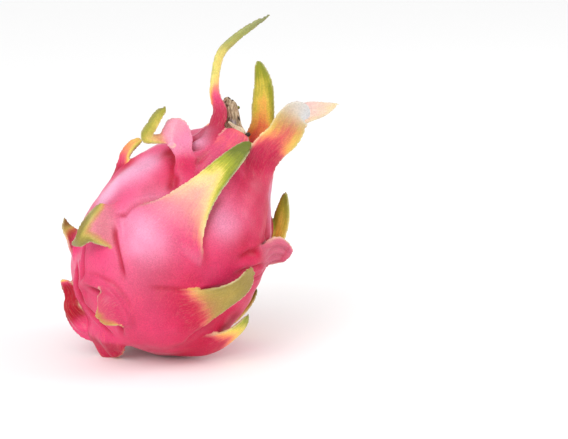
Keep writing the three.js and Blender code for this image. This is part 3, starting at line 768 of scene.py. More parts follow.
# %% where the folds and the swellings lie
FOLDS = {                # depth and half width in mm, how much painted crimson shade, step in mm, then its places: along, around
    "left_crease": (1.2, 1.0, 1.0, -1.2, [
        (-1, -66), (-3, -60), (-3, -53), (-4, -48), (-7, -41), (-11, -36), (-16, -29), (-21, -23),
        (-25, -19)]),
    "plate_edge": (0.6, 0.9, 0.5, 0.5, [(-22, -64), (-27, -59), (-33, -53), (-39, -50)]),
    "under_front_margin": (0.8, 1.0, 0.45, 0.0, [
        (-1, -48), (2, -43), (7, -42), (11, -39), (16, -32), (21, -26)]),
    "under_flap": (1.0, 1.6, 1.0, 0.0, [
        (37, -68), (36, -58), (36, -50), (34, -43), (30, -35), (25, -29), (22, -26)]),
    "beside_flap": (1.0, 1.5, 1.0, 0.0, [
        (50, -56), (45, -50), (42, -44), (37, -37), (33, -32), (27, -27), (22, -24)]),
    "crown_upper": (1.4, 1.1, 0.5, 0.9, [(58, -88), (55, -62), (50, -50), (46, -52), (43, -56)]),
    "crown_middle": (1.5, 1.2, 0.5, 0.9, [(58, -56), (51, -36), (47, -35), (44, -39), (40, -44)]),
    "crown_lower": (1.1, 1.2, 0.6, 0.6, [(58, -30), (56, -20), (49, -21), (43, -24), (38, -29), (34, -33)]),
    "right_fan_upper": (1.1, 1.2, 0.9, 0.5, [(23, 88), (21, 72), (19, 55), (16, 43), (10, 34)]),
    "right_fan_middle": (1.3, 1.2, 0.9, 0.4, [(18, 90), (14, 74), (12, 60), (8, 46), (3, 36)]),
    "right_fan_lower": (1.0, 1.1, 0.7, 0.5, [(12, 92), (7, 76), (3, 60), (-3, 50), (-6, 42)]),
    "right_limb": (0.8, 1.4, 0.5, -0.8, [(48, 84), (42, 82), (36, 75), (31, 70), (25, 66), (20, 64)]),
    "right_of_front": (0.4, 1.5, 0.5, 0.0, [(34, 10), (28, 6), (20, 6), (13, 8), (7, 14), (1, 20)]),
    "lower_left_bay": (1.6, 1.8, 1.0, 0.0, [(-35, -66), (-38, -60), (-43, -57), (-47, -52), (-52, -46)]),
    "small_flap_roll": (-1.4, 2.0, 0.0, 0.0, [
        (-45, -56), (-38, -46), (-34, -37), (-32, -26), (-34, -17), (-39, -9), (-48, -3)]),
    "inside_roll": (1.6, 1.0, 1.0, -0.9, [
        (-39, -46), (-37, -36), (-36, -28), (-37, -21), (-40, -14), (-47, -7), (-53, -2)]),
    "below_flap": (1.0, 1.0, 0.7, 0.4, [(-50, -54), (-51, -42), (-52, -30), (-54, -20), (-56, -8)]),
    "over_sickle": (0.7, 1.0, 0.6, 0.4, [
        (-20, -8), (-17, 1), (-14, 8), (-11, 17), (-8, 25), (-4, 34), (0, 40)]),
    "far_crease": (1.4, 1.5, 0.7, 0.8, [(30, -120), (16, -124), (2, -120), (-12, -118)]),
    "far_crease_low": (1.3, 1.5, 0.7, 0.8, [(-8, 160), (-20, 150), (-32, 148), (-44, 152)]),
}
SWELLINGS = [            # along, around, half width and height in mm
    (7, -27, 16, 1.1), (18, -58, 15, 1.4), (29, 24, 12, 1.4), (14, 34, 14, 1.0), (-26, -44, 12, 0.8),
    (-6, -4, 20, 0.1), (43, -22, 9, 0.9), (34, -52, 9, 0.7), (-20, 40, 15, 0.8), (0, 130, 16, 1.2),
    (10, 176, 16, 1.2), (-24, 196, 16, 1.2), (26, -150, 14, 1.0), (-20, -120, 16, 1.0)]
print("folds:", len(FOLDS), "swellings:", len(SWELLINGS))

# %% distances over the skin
LEAST_RADIUS = 8.0              # mm, so that distances stay sound at both ends of the fruit


def turned(angle):
    """An angle difference brought to between -180 and 180 degrees."""
    return (angle + 180.0) % 360.0 - 180.0


def arc_of(along):
    """Millimetres over the skin for each degree round it."""
    return np.radians(1.0) * np.maximum(skin_radius(along), LEAST_RADIUS)


def away_from_line(along, around, line):
    """Distance in mm to a line of places, the share along it of the nearest spot, and the side.

    The skin is laid flat about each point: x is along, y is the angle times the radius there. The side
    is the sign of the cross product of the line's heading and the way to the point."""
    arc = arc_of(along)
    best = np.full(len(along), np.inf)
    share = np.zeros(len(along))
    side = np.ones(len(along))
    for k, ((a0, p0), (a1, p1)) in enumerate(zip(line[:-1], line[1:])):
        x, y = along - a0, turned(around - p0) * arc
        dx, dy = a1 - a0, turned(p1 - p0) * arc
        t = np.clip((x * dx + y * dy) / (dx * dx + dy * dy), 0.0, 1.0)
        gap = np.hypot(x - t * dx, y - t * dy)
        nearer = gap < best
        best = np.where(nearer, gap, best)
        share = np.where(nearer, (k + t) / (len(line) - 1), share)
        side = np.where(nearer, np.sign(dx * y - dy * x), side)
    return best, share, side


def away_from_spot(along, around, spot_along, spot_around):
    """Distance in mm over the skin to one place: the square root of both squared distances' sum."""
    return np.hypot(along - spot_along, turned(around - spot_around) * arc_of(along))


def bell(gap, width, power=2):
    """1 in the middle and almost 0 at twice the width: e to the minus square of their ratio."""
    return np.exp(-(gap / width) ** power)


print("a degree at the middle is", round(float(arc_of(0.0)), 2), "mm long")

# %% fold the skin
RIDGE_BESIDE = 0.4              # of the depth, the rise on both sides of a fold
RIDGE_AWAY = 2.1                # half widths from a fold to that rise
STEP_REACH = 4.0                # half widths over which the higher side of a fold runs out
FOLD_SETS_IN = (0.0, 0.15)      # shares of a fold's line
FOLD_RUNS_OUT = (1.0, 0.80)
OFF_SKIN = (3.2, 1.4)           # mm off the skin, between which folds set in
FACING_OUT = (0.2, 0.6)         # cosines against straight out, between which folds set in
TINT_REACH = 1.4                # half widths over which a fold is painted crimson as shade
AXIAL_SHARE = 0.55              # of a place along the axis, where the line square to the skin starts

set_points(drawn, points)
along, around, lift = address(points)
off_middle = points - MIDDLE - AXIAL_SHARE * along[:, None] * FLOWERWARD
off_middle /= np.linalg.norm(off_middle, axis=1, keepdims=True)
facing = np.einsum("ij,ij->i", normals_of(drawn), off_middle)
on_skin = smoothstep(*OFF_SKIN, lift) * smoothstep(*FACING_OUT, facing)
folding, swelling, crease_shade = np.zeros((3, len(points)))
for depth, half_width, tint, step, line in FOLDS.values():
    gap, share, side = away_from_line(along, around, line)
    ends = smoothstep(*FOLD_SETS_IN, share) * smoothstep(*FOLD_RUNS_OUT, share)
    rise = RIDGE_BESIDE * bell(gap - RIDGE_AWAY * half_width, half_width)
    folding += depth * ends * (rise - bell(gap, half_width))
    folding += step * ends * 0.5 * np.tanh(side * gap / half_width) * bell(gap, STEP_REACH * half_width)
    crease_shade = np.maximum(crease_shade, tint * ends * bell(gap, TINT_REACH * half_width))
for spot_along, spot_around, half_width, height in SWELLINGS:
    swelling += height * bell(away_from_spot(along, around, spot_along, spot_around), half_width)
print("deepest fold (mm):", round(float((folding * on_skin).min()), 2))

# %% ripple the skin
RIPPLES = 14
RIPPLE_HEIGHT = 0.10            # mm
RIPPLE_LENGTHS = (9.0, 26.0)    # mm
RIPPLE_SEED = 5

chance = np.random.default_rng(RIPPLE_SEED)
headings = chance.normal(size=(RIPPLES, 3))
headings /= np.linalg.norm(headings, axis=1, keepdims=True)
lengths = chance.uniform(*RIPPLE_LENGTHS, RIPPLES)
starts = chance.uniform(0.0, 2 * np.pi, RIPPLES)
waves = np.sin(points @ (headings * 2 * np.pi / lengths[:, None]).T + starts)
swelling += RIPPLE_HEIGHT * waves.sum(axis=1)
points = points + normals_of(drawn) * (swelling * (1.0 - loose) + folding * on_skin)[:, None]
crease_shade = crease_shade * on_skin
print("highest swelling (mm):", round(float(swelling.max()), 2))

# %% [markdown]
# ## Navel, stub hollow and the flat it rests on
# At the flower end the skin dips into a shallow navel, and at the stem end it closes round the woody
# stub. Points inside either ring are moved along the axis until they lie on its floor. Whatever would
# lie below the ground is brought up to it, which makes the small flat spot that the fruit rests on.
# Boolean cuts would do all three, but they leave sharp rims and slivers in so dense a mesh.

# %% ends and rest spot
NAVEL_RADIUS, NAVEL_FLOOR, NAVEL_TOP = 8.3, 55.4, 66.0
NAVEL_WALL = (-1.6, 0.4)        # mm from its radius, between which the navel's wall rises
STUB_RADIUS, STUB_FLOOR, STUB_DEPTH = 4.9, -57.3, 6.0
STUB_WALL = (-1.2, 0.4)

offset = points - MIDDLE
along = offset @ FLOWERWARD
off_axis = np.hypot(offset @ FRONT, offset @ LOWER_RIGHT - neck_lean(along))
navel_rise = smoothstep(NAVEL_RADIUS + NAVEL_WALL[0], NAVEL_RADIUS + NAVEL_WALL[1], off_axis)
floor_at = NAVEL_FLOOR + (NAVEL_TOP - NAVEL_FLOOR) * navel_rise
sink = np.where((along < NAVEL_TOP) & (off_axis < NAVEL_RADIUS), np.minimum(floor_at - along, 0.0), 0.0)
stub_drop = smoothstep(STUB_RADIUS + STUB_WALL[0], STUB_RADIUS + STUB_WALL[1], off_axis)
cap_at = STUB_FLOOR - STUB_DEPTH * stub_drop
sink = np.where((along < 0) & (off_axis < STUB_RADIUS), np.maximum(cap_at - along, 0.0), sink)
points = points + sink[:, None] * FLOWERWARD
points[:, 2] = np.maximum(points[:, 2], 0.0)
set_points(drawn, points)
print("points on the rest spot:", int((points[:, 2] == 0.0).sum()))

# %% [markdown]
# ## Creases, bloom and painted light
# Creases and hollows are painted crimson as shade, and the cushions between them carry a pale waxy bloom
# with painted highlights. Where the bloom and painted highlights lie, and where deep crimson and painted
# shade lie, is a list of soft round spots. How hollow a place is can be read from the mesh: where its
# surroundings lie outside the surface, it is a fold or the pocket under a scale. The shader's own
# pointiness would find only the narrowest of them. The grain runs along the fruit on the skin, and along
# each blade on a scale.

# %% where bloom with painted highlights, and deep crimson with painted shade, lie
BLOOM_AND_HIGHLIGHT_SPOTS = [          # bloom and painted highlights: along, around, half width in mm and strength
    (8, -29, 10, 0.5), (3, -26, 12, 0.6), (6, -24, 18, 0.25), (-20, -16, 18, 0.12), (20, -58, 7, 0.5),
    (-2, -74, 7, 0.6), (1, -72, 7, 0.6), (8, -71, 7, 0.7), (17, -67, 7, 0.7), (25, -66, 6, 0.7),
    (26, -56, 5, 0.5), (25, 16, 10, 0.5), (-2, -24, 10, 0.2), (48, -42, 4, 0.8), (53, -54, 4, 0.8),
    (42, -46, 4, 0.5), (-8, -52, 6, 0.4), (42, 80, 6, 0.7), (33, 82, 6, 0.8), (25, 84, 6, 0.8),
    (16, 86, 6, 0.8), (4, 140, 14, 0.6), (-18, -130, 14, 0.6), (24, 176, 12, 0.6)]
DEEP_AND_SHADE_SPOTS = [           # the same for deep crimson and painted shade
    (-8, 0, 24, 0.6), (17, -40, 6, 0.7), (24, -34, 6, 0.6), (17, -84, 7, 0.9), (40, 60, 14, 0.6),
    (34, 34, 18, 0.5), (10, 46, 14, 0.6), (20, 57, 13, 1.0), (27, 52, 9, 1.0), (21, 42, 8, 1.0),
    (-26, -8, 18, 0.4), (35, -58, 4, 0.9), (35, -51, 4, 0.8), (28, -42, 7, 0.4), (38, -30, 8, 0.6),
    (24, 58, 12, 0.6), (52, -20, 10, 0.2), (-44, -46, 12, 0.5), (-30, 30, 20, 0.6), (50, 40, 12, 0.4),
    (-14, 26, 14, 0.7)]
print("spots of bloom:", len(BLOOM_AND_HIGHLIGHT_SPOTS), "spots of crimson:", len(DEEP_AND_SHADE_SPOTS))

# %% colour cues
WIDE_ROUNDS, WIDE_STEP, HOLLOW_BLUR = 23, 0.9, 3    # smoothing of the surroundings that hollows are read from
SHADY_SIDE = 75.0               # around, where the skin is painted darkest all along: deeper colour and painted shade
SHADE = 0.8                     # how strong that is
SHADE_RANGE = (0.3, 1.0)        # between the far edge of the shade and its middle
STREAK_LENGTH = 0.9             # of the way along that the skin's grain leaves out, which draws it out
VEIN_LENGTH, VEIN_SHIFT = 0.1, 9.0      # how drawn out a blade's grain is, and mm between two scales' grains


def spotted(gap_to, spots, field, power=2):
    """Raises a field towards 1 in soft spots: each takes its strength of what is still missing."""
    for spot_along, spot_around, half_width, strength in spots:
        field = field + (1.0 - field) * strength * bell(gap_to(spot_along, spot_around), half_width, power)
    return field


def gap_over_skin(spot_along, spot_around):
    """Distance of every point of the skin from a spot."""
    return away_from_spot(along, around, spot_along, spot_around)


wide = sunk_in(points, edges, WIDE_ROUNDS, WIDE_STEP)
hollow = blurred(np.einsum("ij,ij->i", wide - points, normals_of(drawn)), edges, HOLLOW_BLUR)
print("hollowness (mm):", np.percentile(hollow, [1, 25, 50, 75, 99]).round(2))
along, around, _ = address(points)
# pale waxy bloom together with painted highlights, less on the free blades
bloom_and_highlight = spotted(gap_over_skin, BLOOM_AND_HIGHLIGHT_SPOTS, np.zeros(len(points)))
# deep crimson and painted shade in spots, and painted shade on the side away from the lights
deep_and_shade = spotted(gap_over_skin, DEEP_AND_SHADE_SPOTS, np.zeros(len(points)))
shade = smoothstep(*SHADE_RANGE, 0.5 + 0.5 * np.cos(np.radians(around - SHADY_SIDE)))
streak = points - MIDDLE - STREAK_LENGTH * along[:, None] * FLOWERWARD
vein = np.stack([flow[:, 0], VEIN_LENGTH * flow[:, 1], VEIN_SHIFT * flow[:, 2]], axis=-1)
store_numbers(drawn, "hollow", hollow)
store_numbers(drawn, "crease_shade", crease_shade)
store_numbers(drawn, "bloom_and_highlight", bloom_and_highlight * (1.0 - 0.5 * loose))
store_numbers(drawn, "deep_and_shade", np.maximum(deep_and_shade, SHADE * shade))
store_numbers(drawn, "loose", loose)
store_numbers(drawn, "grain", np.where(loose[:, None] > 0.5, vein, streak), "FLOAT_VECTOR", "vector")
drawn.shade_smooth()
print("mean bloom:", round(float(bloom_and_highlight.mean()), 3), "mean crease:", round(float(crease_shade.mean()), 3))

# %% [markdown]
# ## Finishes
# A material is a graph of small nodes. A class with a short word for each kind of node keeps the finishes
# readable: each word makes its node, feeds it and gives the socket that matters. The speckle group is a
# small tool that several materials share. It breaks up a colour, because no fresh skin and no dry tissue
# has one even colour. Image textures could do it too, but noise has no seams and no size in pixels.

# %% a graph of nodes


def linear(red, green, blue):
    """Colour as seen on a screen (0 to 255), as the linear light that shaders reckon with."""
    seen = np.array([red, green, blue]) / 255.0
    light = np.where(seen <= 0.04045, seen / 12.92, ((seen + 0.055) / 1.055) ** 2.4)
    return (*light.tolist(), 1.0)


class Graph:
    """A node tree with a word for each kind of node used here; values are sockets or plain constants."""

    def __init__(self, tree):
        self.tree = tree
        self.spot = tree.nodes.new("ShaderNodeTexCoord").outputs["Object"]

    def node(self, kind, inputs, output=0, **settings):
        """A node with its settings and its inputs, by name or number."""
        made = self.tree.nodes.new(kind)
        for key, value in settings.items():
            setattr(made, key, value)
        for key, value in inputs.items():
            if isinstance(value, bpy.types.NodeSocket):
                self.tree.links.new(value, made.inputs[key])
            else:
                made.inputs[key].default_value = value
        return made.outputs[output] if len(made.outputs) else made

    def number(self, layer, output="Fac"):
        """What each point knows in a layer of one number or of a vector."""
        return self.node("ShaderNodeAttribute", {}, output, attribute_name=layer)

    def four(self, layer):
        """The four numbers of a colour layer."""
        layer = self.number(layer, "Color")
        apart = self.node("ShaderNodeSeparateColor", {0: layer}).node.outputs
        return *apart[:3], layer.node.outputs["Alpha"]

    def noise(self, scale, detail, spot=None, roughness=0.5):
        """Soft noise over the object's own coordinates, or over others."""
        inputs = {"Vector": spot or self.spot, "Scale": scale, "Detail": detail, "Roughness": roughness}
        return self.node("ShaderNodeTexNoise", inputs, "Fac")

    def ranged(self, value, low, high, to_low=0.0, to_high=1.0):
        """A soft S between two limits, which may run down as well as up."""
        inputs = {0: value, 1: low, 2: high, 3: to_low, 4: to_high}
        return self.node("ShaderNodeMapRange", inputs, interpolation_type="SMOOTHSTEP")

    def math(self, operation, first, *others):
        """Two values or more, joined one after the other by an operation."""
        for other in others:
            first = self.node("ShaderNodeMath", {0: first, 1: other}, operation=operation)
        return first

    def times(self, *values):
        """Product."""
        return self.math("MULTIPLY", *values)

    def plus(self, *values):
        """Sum."""
        return self.math("ADD", *values)

    def most(self, *values):
        """The largest."""
        return self.math("MAXIMUM", *values)

    def mix(self, factor, first, second):
        """Colour between two."""
        return self.node("ShaderNodeMix", {0: factor, 6: first, 7: second}, 2, data_type="RGBA")

    def ramp(self, value, stops):
        """Colour ramp through places and their colours, in order."""
        made = self.node("ShaderNodeValToRGB", {0: value})
        elements = made.node.color_ramp.elements
        elements[0].position, elements[0].color = stops[0]
        elements[1].position, elements[1].color = stops[-1]
        for position, colour in stops[1:-1]:
            elements.new(position).color = colour
        return made

    def bump(self, height, strength, distance, **under):
        """Relief from a height, on top of another relief where one is given as Normal."""
        inputs = {"Height": height, "Strength": strength, "Distance": distance, **under}
        return self.node("ShaderNodeBump", inputs)

    def speckled(self, colour, grains, blotches, strength):
        """Places the speckle group and gives its colour and its height."""
        inputs = {"Color": colour, "Grains": grains, "Blotches": blotches, "Strength": strength}
        made = self.node("ShaderNodeGroup", inputs, "Color", node_tree=SPECKLE)
        return made, made.node.outputs["Height"]


print("mid grey on a screen is", round(linear(128, 128, 128)[0], 3), "in linear light")

# %% the speckle group, and a finished material
BLOTCH_SHARE = 0.45             # of the speckle, against the fine grains
MIDDLE_OF_NOISE = (0.36, 0.64)  # where most of a noise's values lie


def speckle_group():
    """Node group: a colour with fine grains and soft blotches, and a height for a bump."""
    group = bpy.data.node_groups.new("speckle", "ShaderNodeTree")
    for name, kind, value in (
            ("Color", "NodeSocketColor", (0.8, 0.3, 0.4, 1.0)), ("Grains", "NodeSocketFloat", 1500.0),
            ("Blotches", "NodeSocketFloat", 60.0), ("Strength", "NodeSocketFloat", 0.15)):
        group.interface.new_socket(name=name, in_out="INPUT", socket_type=kind).default_value = value
    for name, kind in (("Color", "NodeSocketColor"), ("Height", "NodeSocketFloat")):
        group.interface.new_socket(name=name, in_out="OUTPUT", socket_type=kind)
    graph = Graph(group)
    given = group.nodes.new("NodeGroupInput").outputs
    grains = graph.noise(given["Grains"], 2.0, roughness=0.6)
    blotches = graph.noise(given["Blotches"], 3.0)
    both = graph.mix(BLOTCH_SHARE, grains, blotches)
    swing = graph.ranged(both, *MIDDLE_OF_NOISE, -1.0, 1.0)
    brightness = graph.plus(graph.times(swing, given["Strength"]), 1.0)
    colour = graph.node("ShaderNodeHueSaturation", {"Color": given["Color"], "Value": brightness})
    graph.node("NodeGroupOutput", {"Color": colour, "Height": grains})
    return group


SPECKLE = speckle_group()


def finished(name, build):
    """A material whose principled shader takes the inputs that a function makes in a fresh graph."""
    material = bpy.data.materials.new(name)
    material.use_nodes = True
    material.node_tree.nodes.clear()
    graph = Graph(material.node_tree)
    shader = graph.node("ShaderNodeBsdfPrincipled", build(graph))
    graph.node("ShaderNodeOutputMaterial", {"Surface": shader})
    return material


print("speckle group:", len(SPECKLE.nodes), "nodes")

# %% [markdown]
# ## The skin's finish
# Fresh skin is waxy: broad soft highlights, a little light passing through it, a pale bloom where it
# swells, with painted highlights in it, and crimson that is painted shade where it folds and under the
# scales. Deep crimson with painted shade lies on the side away from the lights. The green of a scale comes
# in from its tip and its margins. The colour is laid on in thin coats, one over the other, as a painter
# would glaze it. Folds are also less powdery and less glossy than the open skin, or the crimson in them
# would look grey.

# %% colours of the skin
ROSE = linear(222, 54, 111)
# crimson of blushes, also painted shade in creases, hollows and on the undersides of scales
CRIMSON = linear(166, 16, 40)
# deep crimson, also the colour of painted shade
DEEP_AND_SHADE = linear(180, 14, 44)
# pale bloom, also the colour of painted highlights
BLOOM_AND_HIGHLIGHT = linear(234, 188, 220)
RIM = linear(232, 218, 176)
# grey of the painted highlight on scale tips
WAX_HIGHLIGHT = linear(202, 204, 212)
# tan, also painted shade on scales that face away from the light
TAN_AND_SHADE = linear(150, 124, 60)
MILK = linear(244, 204, 188)
RIPENING = (             # stage of growth and its colour, from the skin to the tip of a scale
    (0.06, ROSE), (0.18, linear(232, 92, 104)), (0.32, linear(246, 140, 92)), (0.46, linear(250, 196, 94)),
    (0.60, linear(228, 208, 82)), (0.78, linear(154, 160, 40)), (1.0, linear(100, 110, 30)))
print("colours from skin to tip:", len(RIPENING))

# %% fruit skin material
DRIFT, PATCHES = (90.0, 3.0), (34.0, 3.0)       # scale and detail of the noise over the fruit
VEINS, FIBRES = (0.8, 4.0), (2.6, 3.0)          # and along the grain
NOISE_SPAN = (0.3, 0.7)         # values of a noise that are stretched to a whole range
WANDER, STRIPE = 0.06, 0.04     # how far noise moves the stage of growth
BY_STAGE = {             # a coat's two stages of growth, and how strong it is before and after them
    "pink": (0.34, 0.04, 0.0, 1.0), "milk": (0.74, 0.40, 0.0, 1.0), "tan_and_shade": (0.04, 0.34, 0.3, 1.0),
    "shade_beneath": (0.7, 0.3, 0.3, 1.0), "hollow": (0.8, 0.2, 0.15, 0.9)}
HOLLOW_BY_DEPTH = (0.10, 0.8)               # mm
HOLLOW_BY_LOOSE = (0.3, 0.9, 1.0, 0.15)     # painted shade in pockets darkens the skin, and hardly the free blades
LINES_BY_FIBRE, LINES_BY_LOOSE = (0.50, 0.66), (0.1, 0.9, 0.02, 0.07)
ROUGHNESS = (0.36, 0.50)
POWDER_IN_FOLDS = (0.1, 0.8, 0.5, 0.12)
GLOSS_IN_FOLDS = (0.2, 0.8, 0.35, 0.10)


def skin_finish(graph):
    """Growth picks the colour, painted shade deepens folds and undersides to crimson, and bloom, painted
    highlights and thin margins pale it.
    """
    ripeness, margin, tan_and_shade, wax_highlight = graph.four("form")
    lilac_and_highlight, crimson, shade_beneath, milk = graph.four("touch")
    hollow, crease_shade, bloom_and_highlight, deep_and_shade, loose = (
        graph.number(layer) for layer in ("hollow", "crease_shade", "bloom_and_highlight", "deep_and_shade", "loose"))
    grain = graph.number("grain", "Vector")
    drift, patches = graph.noise(*DRIFT), graph.noise(*PATCHES)
    veins, fibres = graph.noise(*VEINS, grain), graph.noise(*FIBRES, grain)
    wander = graph.ranged(drift, *NOISE_SPAN, -WANDER, WANDER)
    stripe = graph.ranged(veins, *NOISE_SPAN, -STRIPE, STRIPE)
    stage = graph.plus(ripeness, graph.plus(wander, stripe))
    pink, milky, tan_and_shade_stage, under, sunken = (graph.ranged(stage, *BY_STAGE[coat]) for coat in BY_STAGE)
    uneven = graph.ranged(patches, 0.35, 0.65, 0.65, 1.0)
    deep_and_shade_by = graph.times(deep_and_shade, uneven, pink)
    bloom_and_highlight_by = graph.times(graph.most(bloom_and_highlight, lilac_and_highlight), graph.times(uneven, pink))
    # crimson blush, and painted shade on the undersides of scales
    red_and_shade_by = graph.most(graph.times(crimson, pink), graph.times(shade_beneath, under))
    hollow_shade_by = graph.times(
        graph.ranged(hollow, *HOLLOW_BY_DEPTH), sunken, graph.ranged(loose, *HOLLOW_BY_LOOSE))
    crease_shade_by = graph.most(hollow_shade_by, graph.times(crease_shade, pink))
    line_by = graph.times(graph.ranged(fibres, *LINES_BY_FIBRE), graph.ranged(loose, *LINES_BY_LOOSE))
    colour = graph.ramp(stage, RIPENING)
    # coats: milk, tan with painted shade, deep crimson with painted shade, bloom with painted highlights,
    # crimson with painted shade beneath, painted shade in folds and hollows, fibres, pale margins, grey
    # painted highlight
    for amount, tint in (
            (graph.times(milk, milky), MILK), (graph.times(tan_and_shade, tan_and_shade_stage), TAN_AND_SHADE),
            (graph.times(deep_and_shade_by, 0.9), DEEP_AND_SHADE), (graph.times(bloom_and_highlight_by, 0.85), BLOOM_AND_HIGHLIGHT), (red_and_shade_by, CRIMSON),
            (graph.times(crease_shade_by, 0.8), CRIMSON), (line_by, RIM), (graph.times(margin, 0.55), RIM),
            (graph.times(wax_highlight, 0.85), WAX_HIGHLIGHT)):
        colour = graph.mix(amount, colour, tint)
    colour, height = graph.speckled(colour, 1500.0, 60.0, 0.13)
    grit = graph.bump(height, 0.16, 0.0004)
    relief = graph.bump(veins, 0.20, 0.0006, Normal=grit)
    folded = graph.most(deep_and_shade_by, crease_shade_by, red_and_shade_by)
    return {
        "Base Color": colour, "Normal": relief, "Roughness": graph.ranged(drift, *NOISE_SPAN, *ROUGHNESS),
        "Sheen Weight": graph.ranged(folded, *POWDER_IN_FOLDS), "Sheen Roughness": 0.2,
        "Sheen Tint": (1.0, 0.93, 1.0, 1.0), "Specular IOR Level": graph.ranged(folded, *GLOSS_IN_FOLDS),
        "Subsurface Weight": 0.10, "Subsurface Radius": (1.0, 0.35, 0.35), "Subsurface Scale": 0.002,
        "Coat Weight": 0.10, "Coat Roughness": 0.30}


drawn.materials.clear()
drawn.materials.append(finished("dragon_fruit_skin", skin_finish))
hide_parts("fruit")
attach(skin, "root")
print("skin triangles:", 2 * len(drawn.polygons))

# %% [markdown]
# ## The dried flower
# After pollination the flower withers into a brown papery tube on top of the fruit. Its ribs are the
# veins of the petals, and its mouth is torn and hollow. A strip of cream tissue curls off its foot, with
# a short strap that still holds it to the tube. Small holes, the end of the strip and the inside of the
# mouth are painted near black as shade, and some spots are ashen. It could be modelled from crumpled
# planes, but a ring stack whose radius carries ribs at four scales stays closed, and its mouth is the
# same stack turned inwards over the rim.

# %% measures of the dried flower
FLOWER = [               # along, out towards the upper left, radius in mm
    [55.7, 0.0, 7.4], [57.3, 0.0, 7.5], [58.8, 0.6, 6.6], [60.2, 1.4, 5.6], [61.3, 2.2, 4.9],
    [62.9, 4.2, 4.6], [64.8, 5.7, 4.4], [66.9, 7.0, 4.2], [69.0, 8.0, 3.7], [70.6, 8.7, 2.9],
    [71.4, 9.1, 1.6]]
SPOT_RADIUS = FLOWER[5][2]      # mm, at the height of the holes and the ashen spots
FLOWER_RINGS, MOUTH_RINGS, FLOWER_AROUND = 90, 26, 160
HOLES = [(65.3, 62, 0.9, 1.0), (63.4, -20, 0.5, 0.8), (62.6, -34, 0.6, 0.6)]    # spots painted dark as shade, as for bloom
ASHEN_SPOTS = [(62.2, -25, 0.9, 0.9), (62.7, 0, 1.0, 1.0), (63.2, 22, 0.8, 0.9)]
MOUTH_DEPTH = 2.0               # mm that the hollow reaches down inside
WALL = 0.40                     # radius of the mouth against the rim's
RIBS_FROM = (56.5, 59.5)        # along, where the ribs set in
INNER_RIBS = 0.7                # height of the ribs inside the mouth, against those outside
RIM_REACH = 0.12                # of the tube's length, over which the torn rim runs out
RIM_DROP = 0.3                  # mm
RIBS = [(0.11, 5, 0.20, 0.0), (0.07, 11, -0.33, 1.0), (0.045, 23, 0.15, 2.0), (0.03, 41, 0.0, 0.4)]
TEARS = [(0.20, 3, 0.0, 0.6), (0.14, 7, 0.0, 2.0), (0.08, 13, 0.0, 0.0)]
CURLED_STRIP = [         # stations as for a scale
    [62.6, -32, 11.6, 0.4, 0, 0, 1.2], [61.7, -16, 8.4, 1.0, 0, 0, 1.4], [61.9, -5, 9.8, 1.4, 0, 0, 1.4],
    [62.1, 5, 10.2, 1.5, 0, 0, 1.4], [61.9, 14, 10.6, 1.2, 0, 0, 1.3], [61.5, 22, 10.6, 0.5, 0, 0, 1.2]]
ITS_STRAP = [
    [60.6, -13, 1.4, 0.8, 0, 0, 1.2], [61.2, -13, 5.6, 0.8, 0, 0, 1.2], [61.8, -12, 8.8, 0.7, 0, 0, 1.0]]
ITS_END = [
    [61.6, 22, 10.4, 0.5, 0, 0, 1.3], [62.2, 26, 11.4, 1.0, 0, 0, 1.5], [62.7, 30, 12.2, 0.8, 0, 0, 1.5]]
STRIPS = [(CURLED_STRIP, 1.0, 0.0), (ITS_STRAP, 1.0, 0.0), (ITS_END, 0.0, 1.0)]     # how pale, and how dark with painted shade
STRIP_PHASE = 0.2
print("dried flower (mm long):", round(FLOWER[-1][0] - FLOWER[0][0], 1))

# %% the tube of the dried flower


def waved(waves, angle, climb=0.0):
    """Sum of cosines round a ring: height, waves round it, twist for each mm of climb, and phase."""
    return sum(height * np.cos(count * angle + twist * climb + phase)
               for height, count, twist, phase in waves)


def flower_rings():
    """Ring stack up the ribbed outside, over a torn rim, and down the inside to the hollow's floor."""
    outside = FLOWER_RINGS - MOUTH_RINGS
    climb = np.concatenate([np.linspace(0, 1, outside), np.linspace(1, 0, MOUTH_RINGS)[1:]])
    inside = np.arange(len(climb)) >= outside
    depth = np.where(inside, 1.0 - MOUTH_DEPTH * (1.0 - climb) / (FLOWER[-1][0] - FLOWER[0][0]), climb)
    along, out, radius = through(FLOWER, depth).T
    radius = radius * np.where(inside, WALL + (1.0 - WALL) * climb ** 6, 1.0)
    angle = even_angles(FLOWER_AROUND)
    ribs = waved(RIBS, angle[None], along[:, None]) * smoothstep(*RIBS_FROM, along)[:, None]
    size = radius[:, None] * (1.0 + ribs * np.where(inside, INNER_RIBS, 1.0)[:, None])
    rim = bell(1.0 - depth, RIM_REACH)[:, None] * (waved(TEARS, angle) - RIM_DROP)
    stack = rings_off_axis(along[:, None] + rim, (neck_lean(along) - out)[:, None], size, angle)
    return stack, inside, angle, along


def flower_tube():
    """The tube's surface, with how dark and how ashen it is at every point."""
    stack, inside, angle, along = flower_rings()

    def gap_on_tube(spot_along, spot_around):
        """Distance from a spot: the hypotenuse of the way along and the way round."""
        swing = np.radians(turned(np.degrees(angle) - spot_around)) * SPOT_RADIUS
        return np.hypot(along[:, None] - spot_along, swing[None])

    none = np.zeros(stack.shape[:2])
    dark = spotted(gap_on_tube, HOLES, none + inside[:, None], power=4)
    ashen = spotted(gap_on_tube, ASHEN_SPOTS, none, power=4)
    return *closed_surface(stack), with_poles(np.stack([dark, none, ashen, none], axis=-1))


parts = [flower_tube()]
print("points of the tube:", len(parts[0][0]))

# %% the strips at its foot
for stations, pale, dark in STRIPS:
    strip = closed_surface(blade(stations, STRIP_PHASE)[0])
    parts.append((*strip, np.broadcast_to([dark, pale, 0.0, 0.0], (len(strip[0]), 4))))
points, quads, fans, tone = joined(parts)
flower = mesh_piece("dried_flower_remnant", points, quads, fans)
store_colours(flower.data, "tone", tone)
print("dried flower:", len(points), "points")

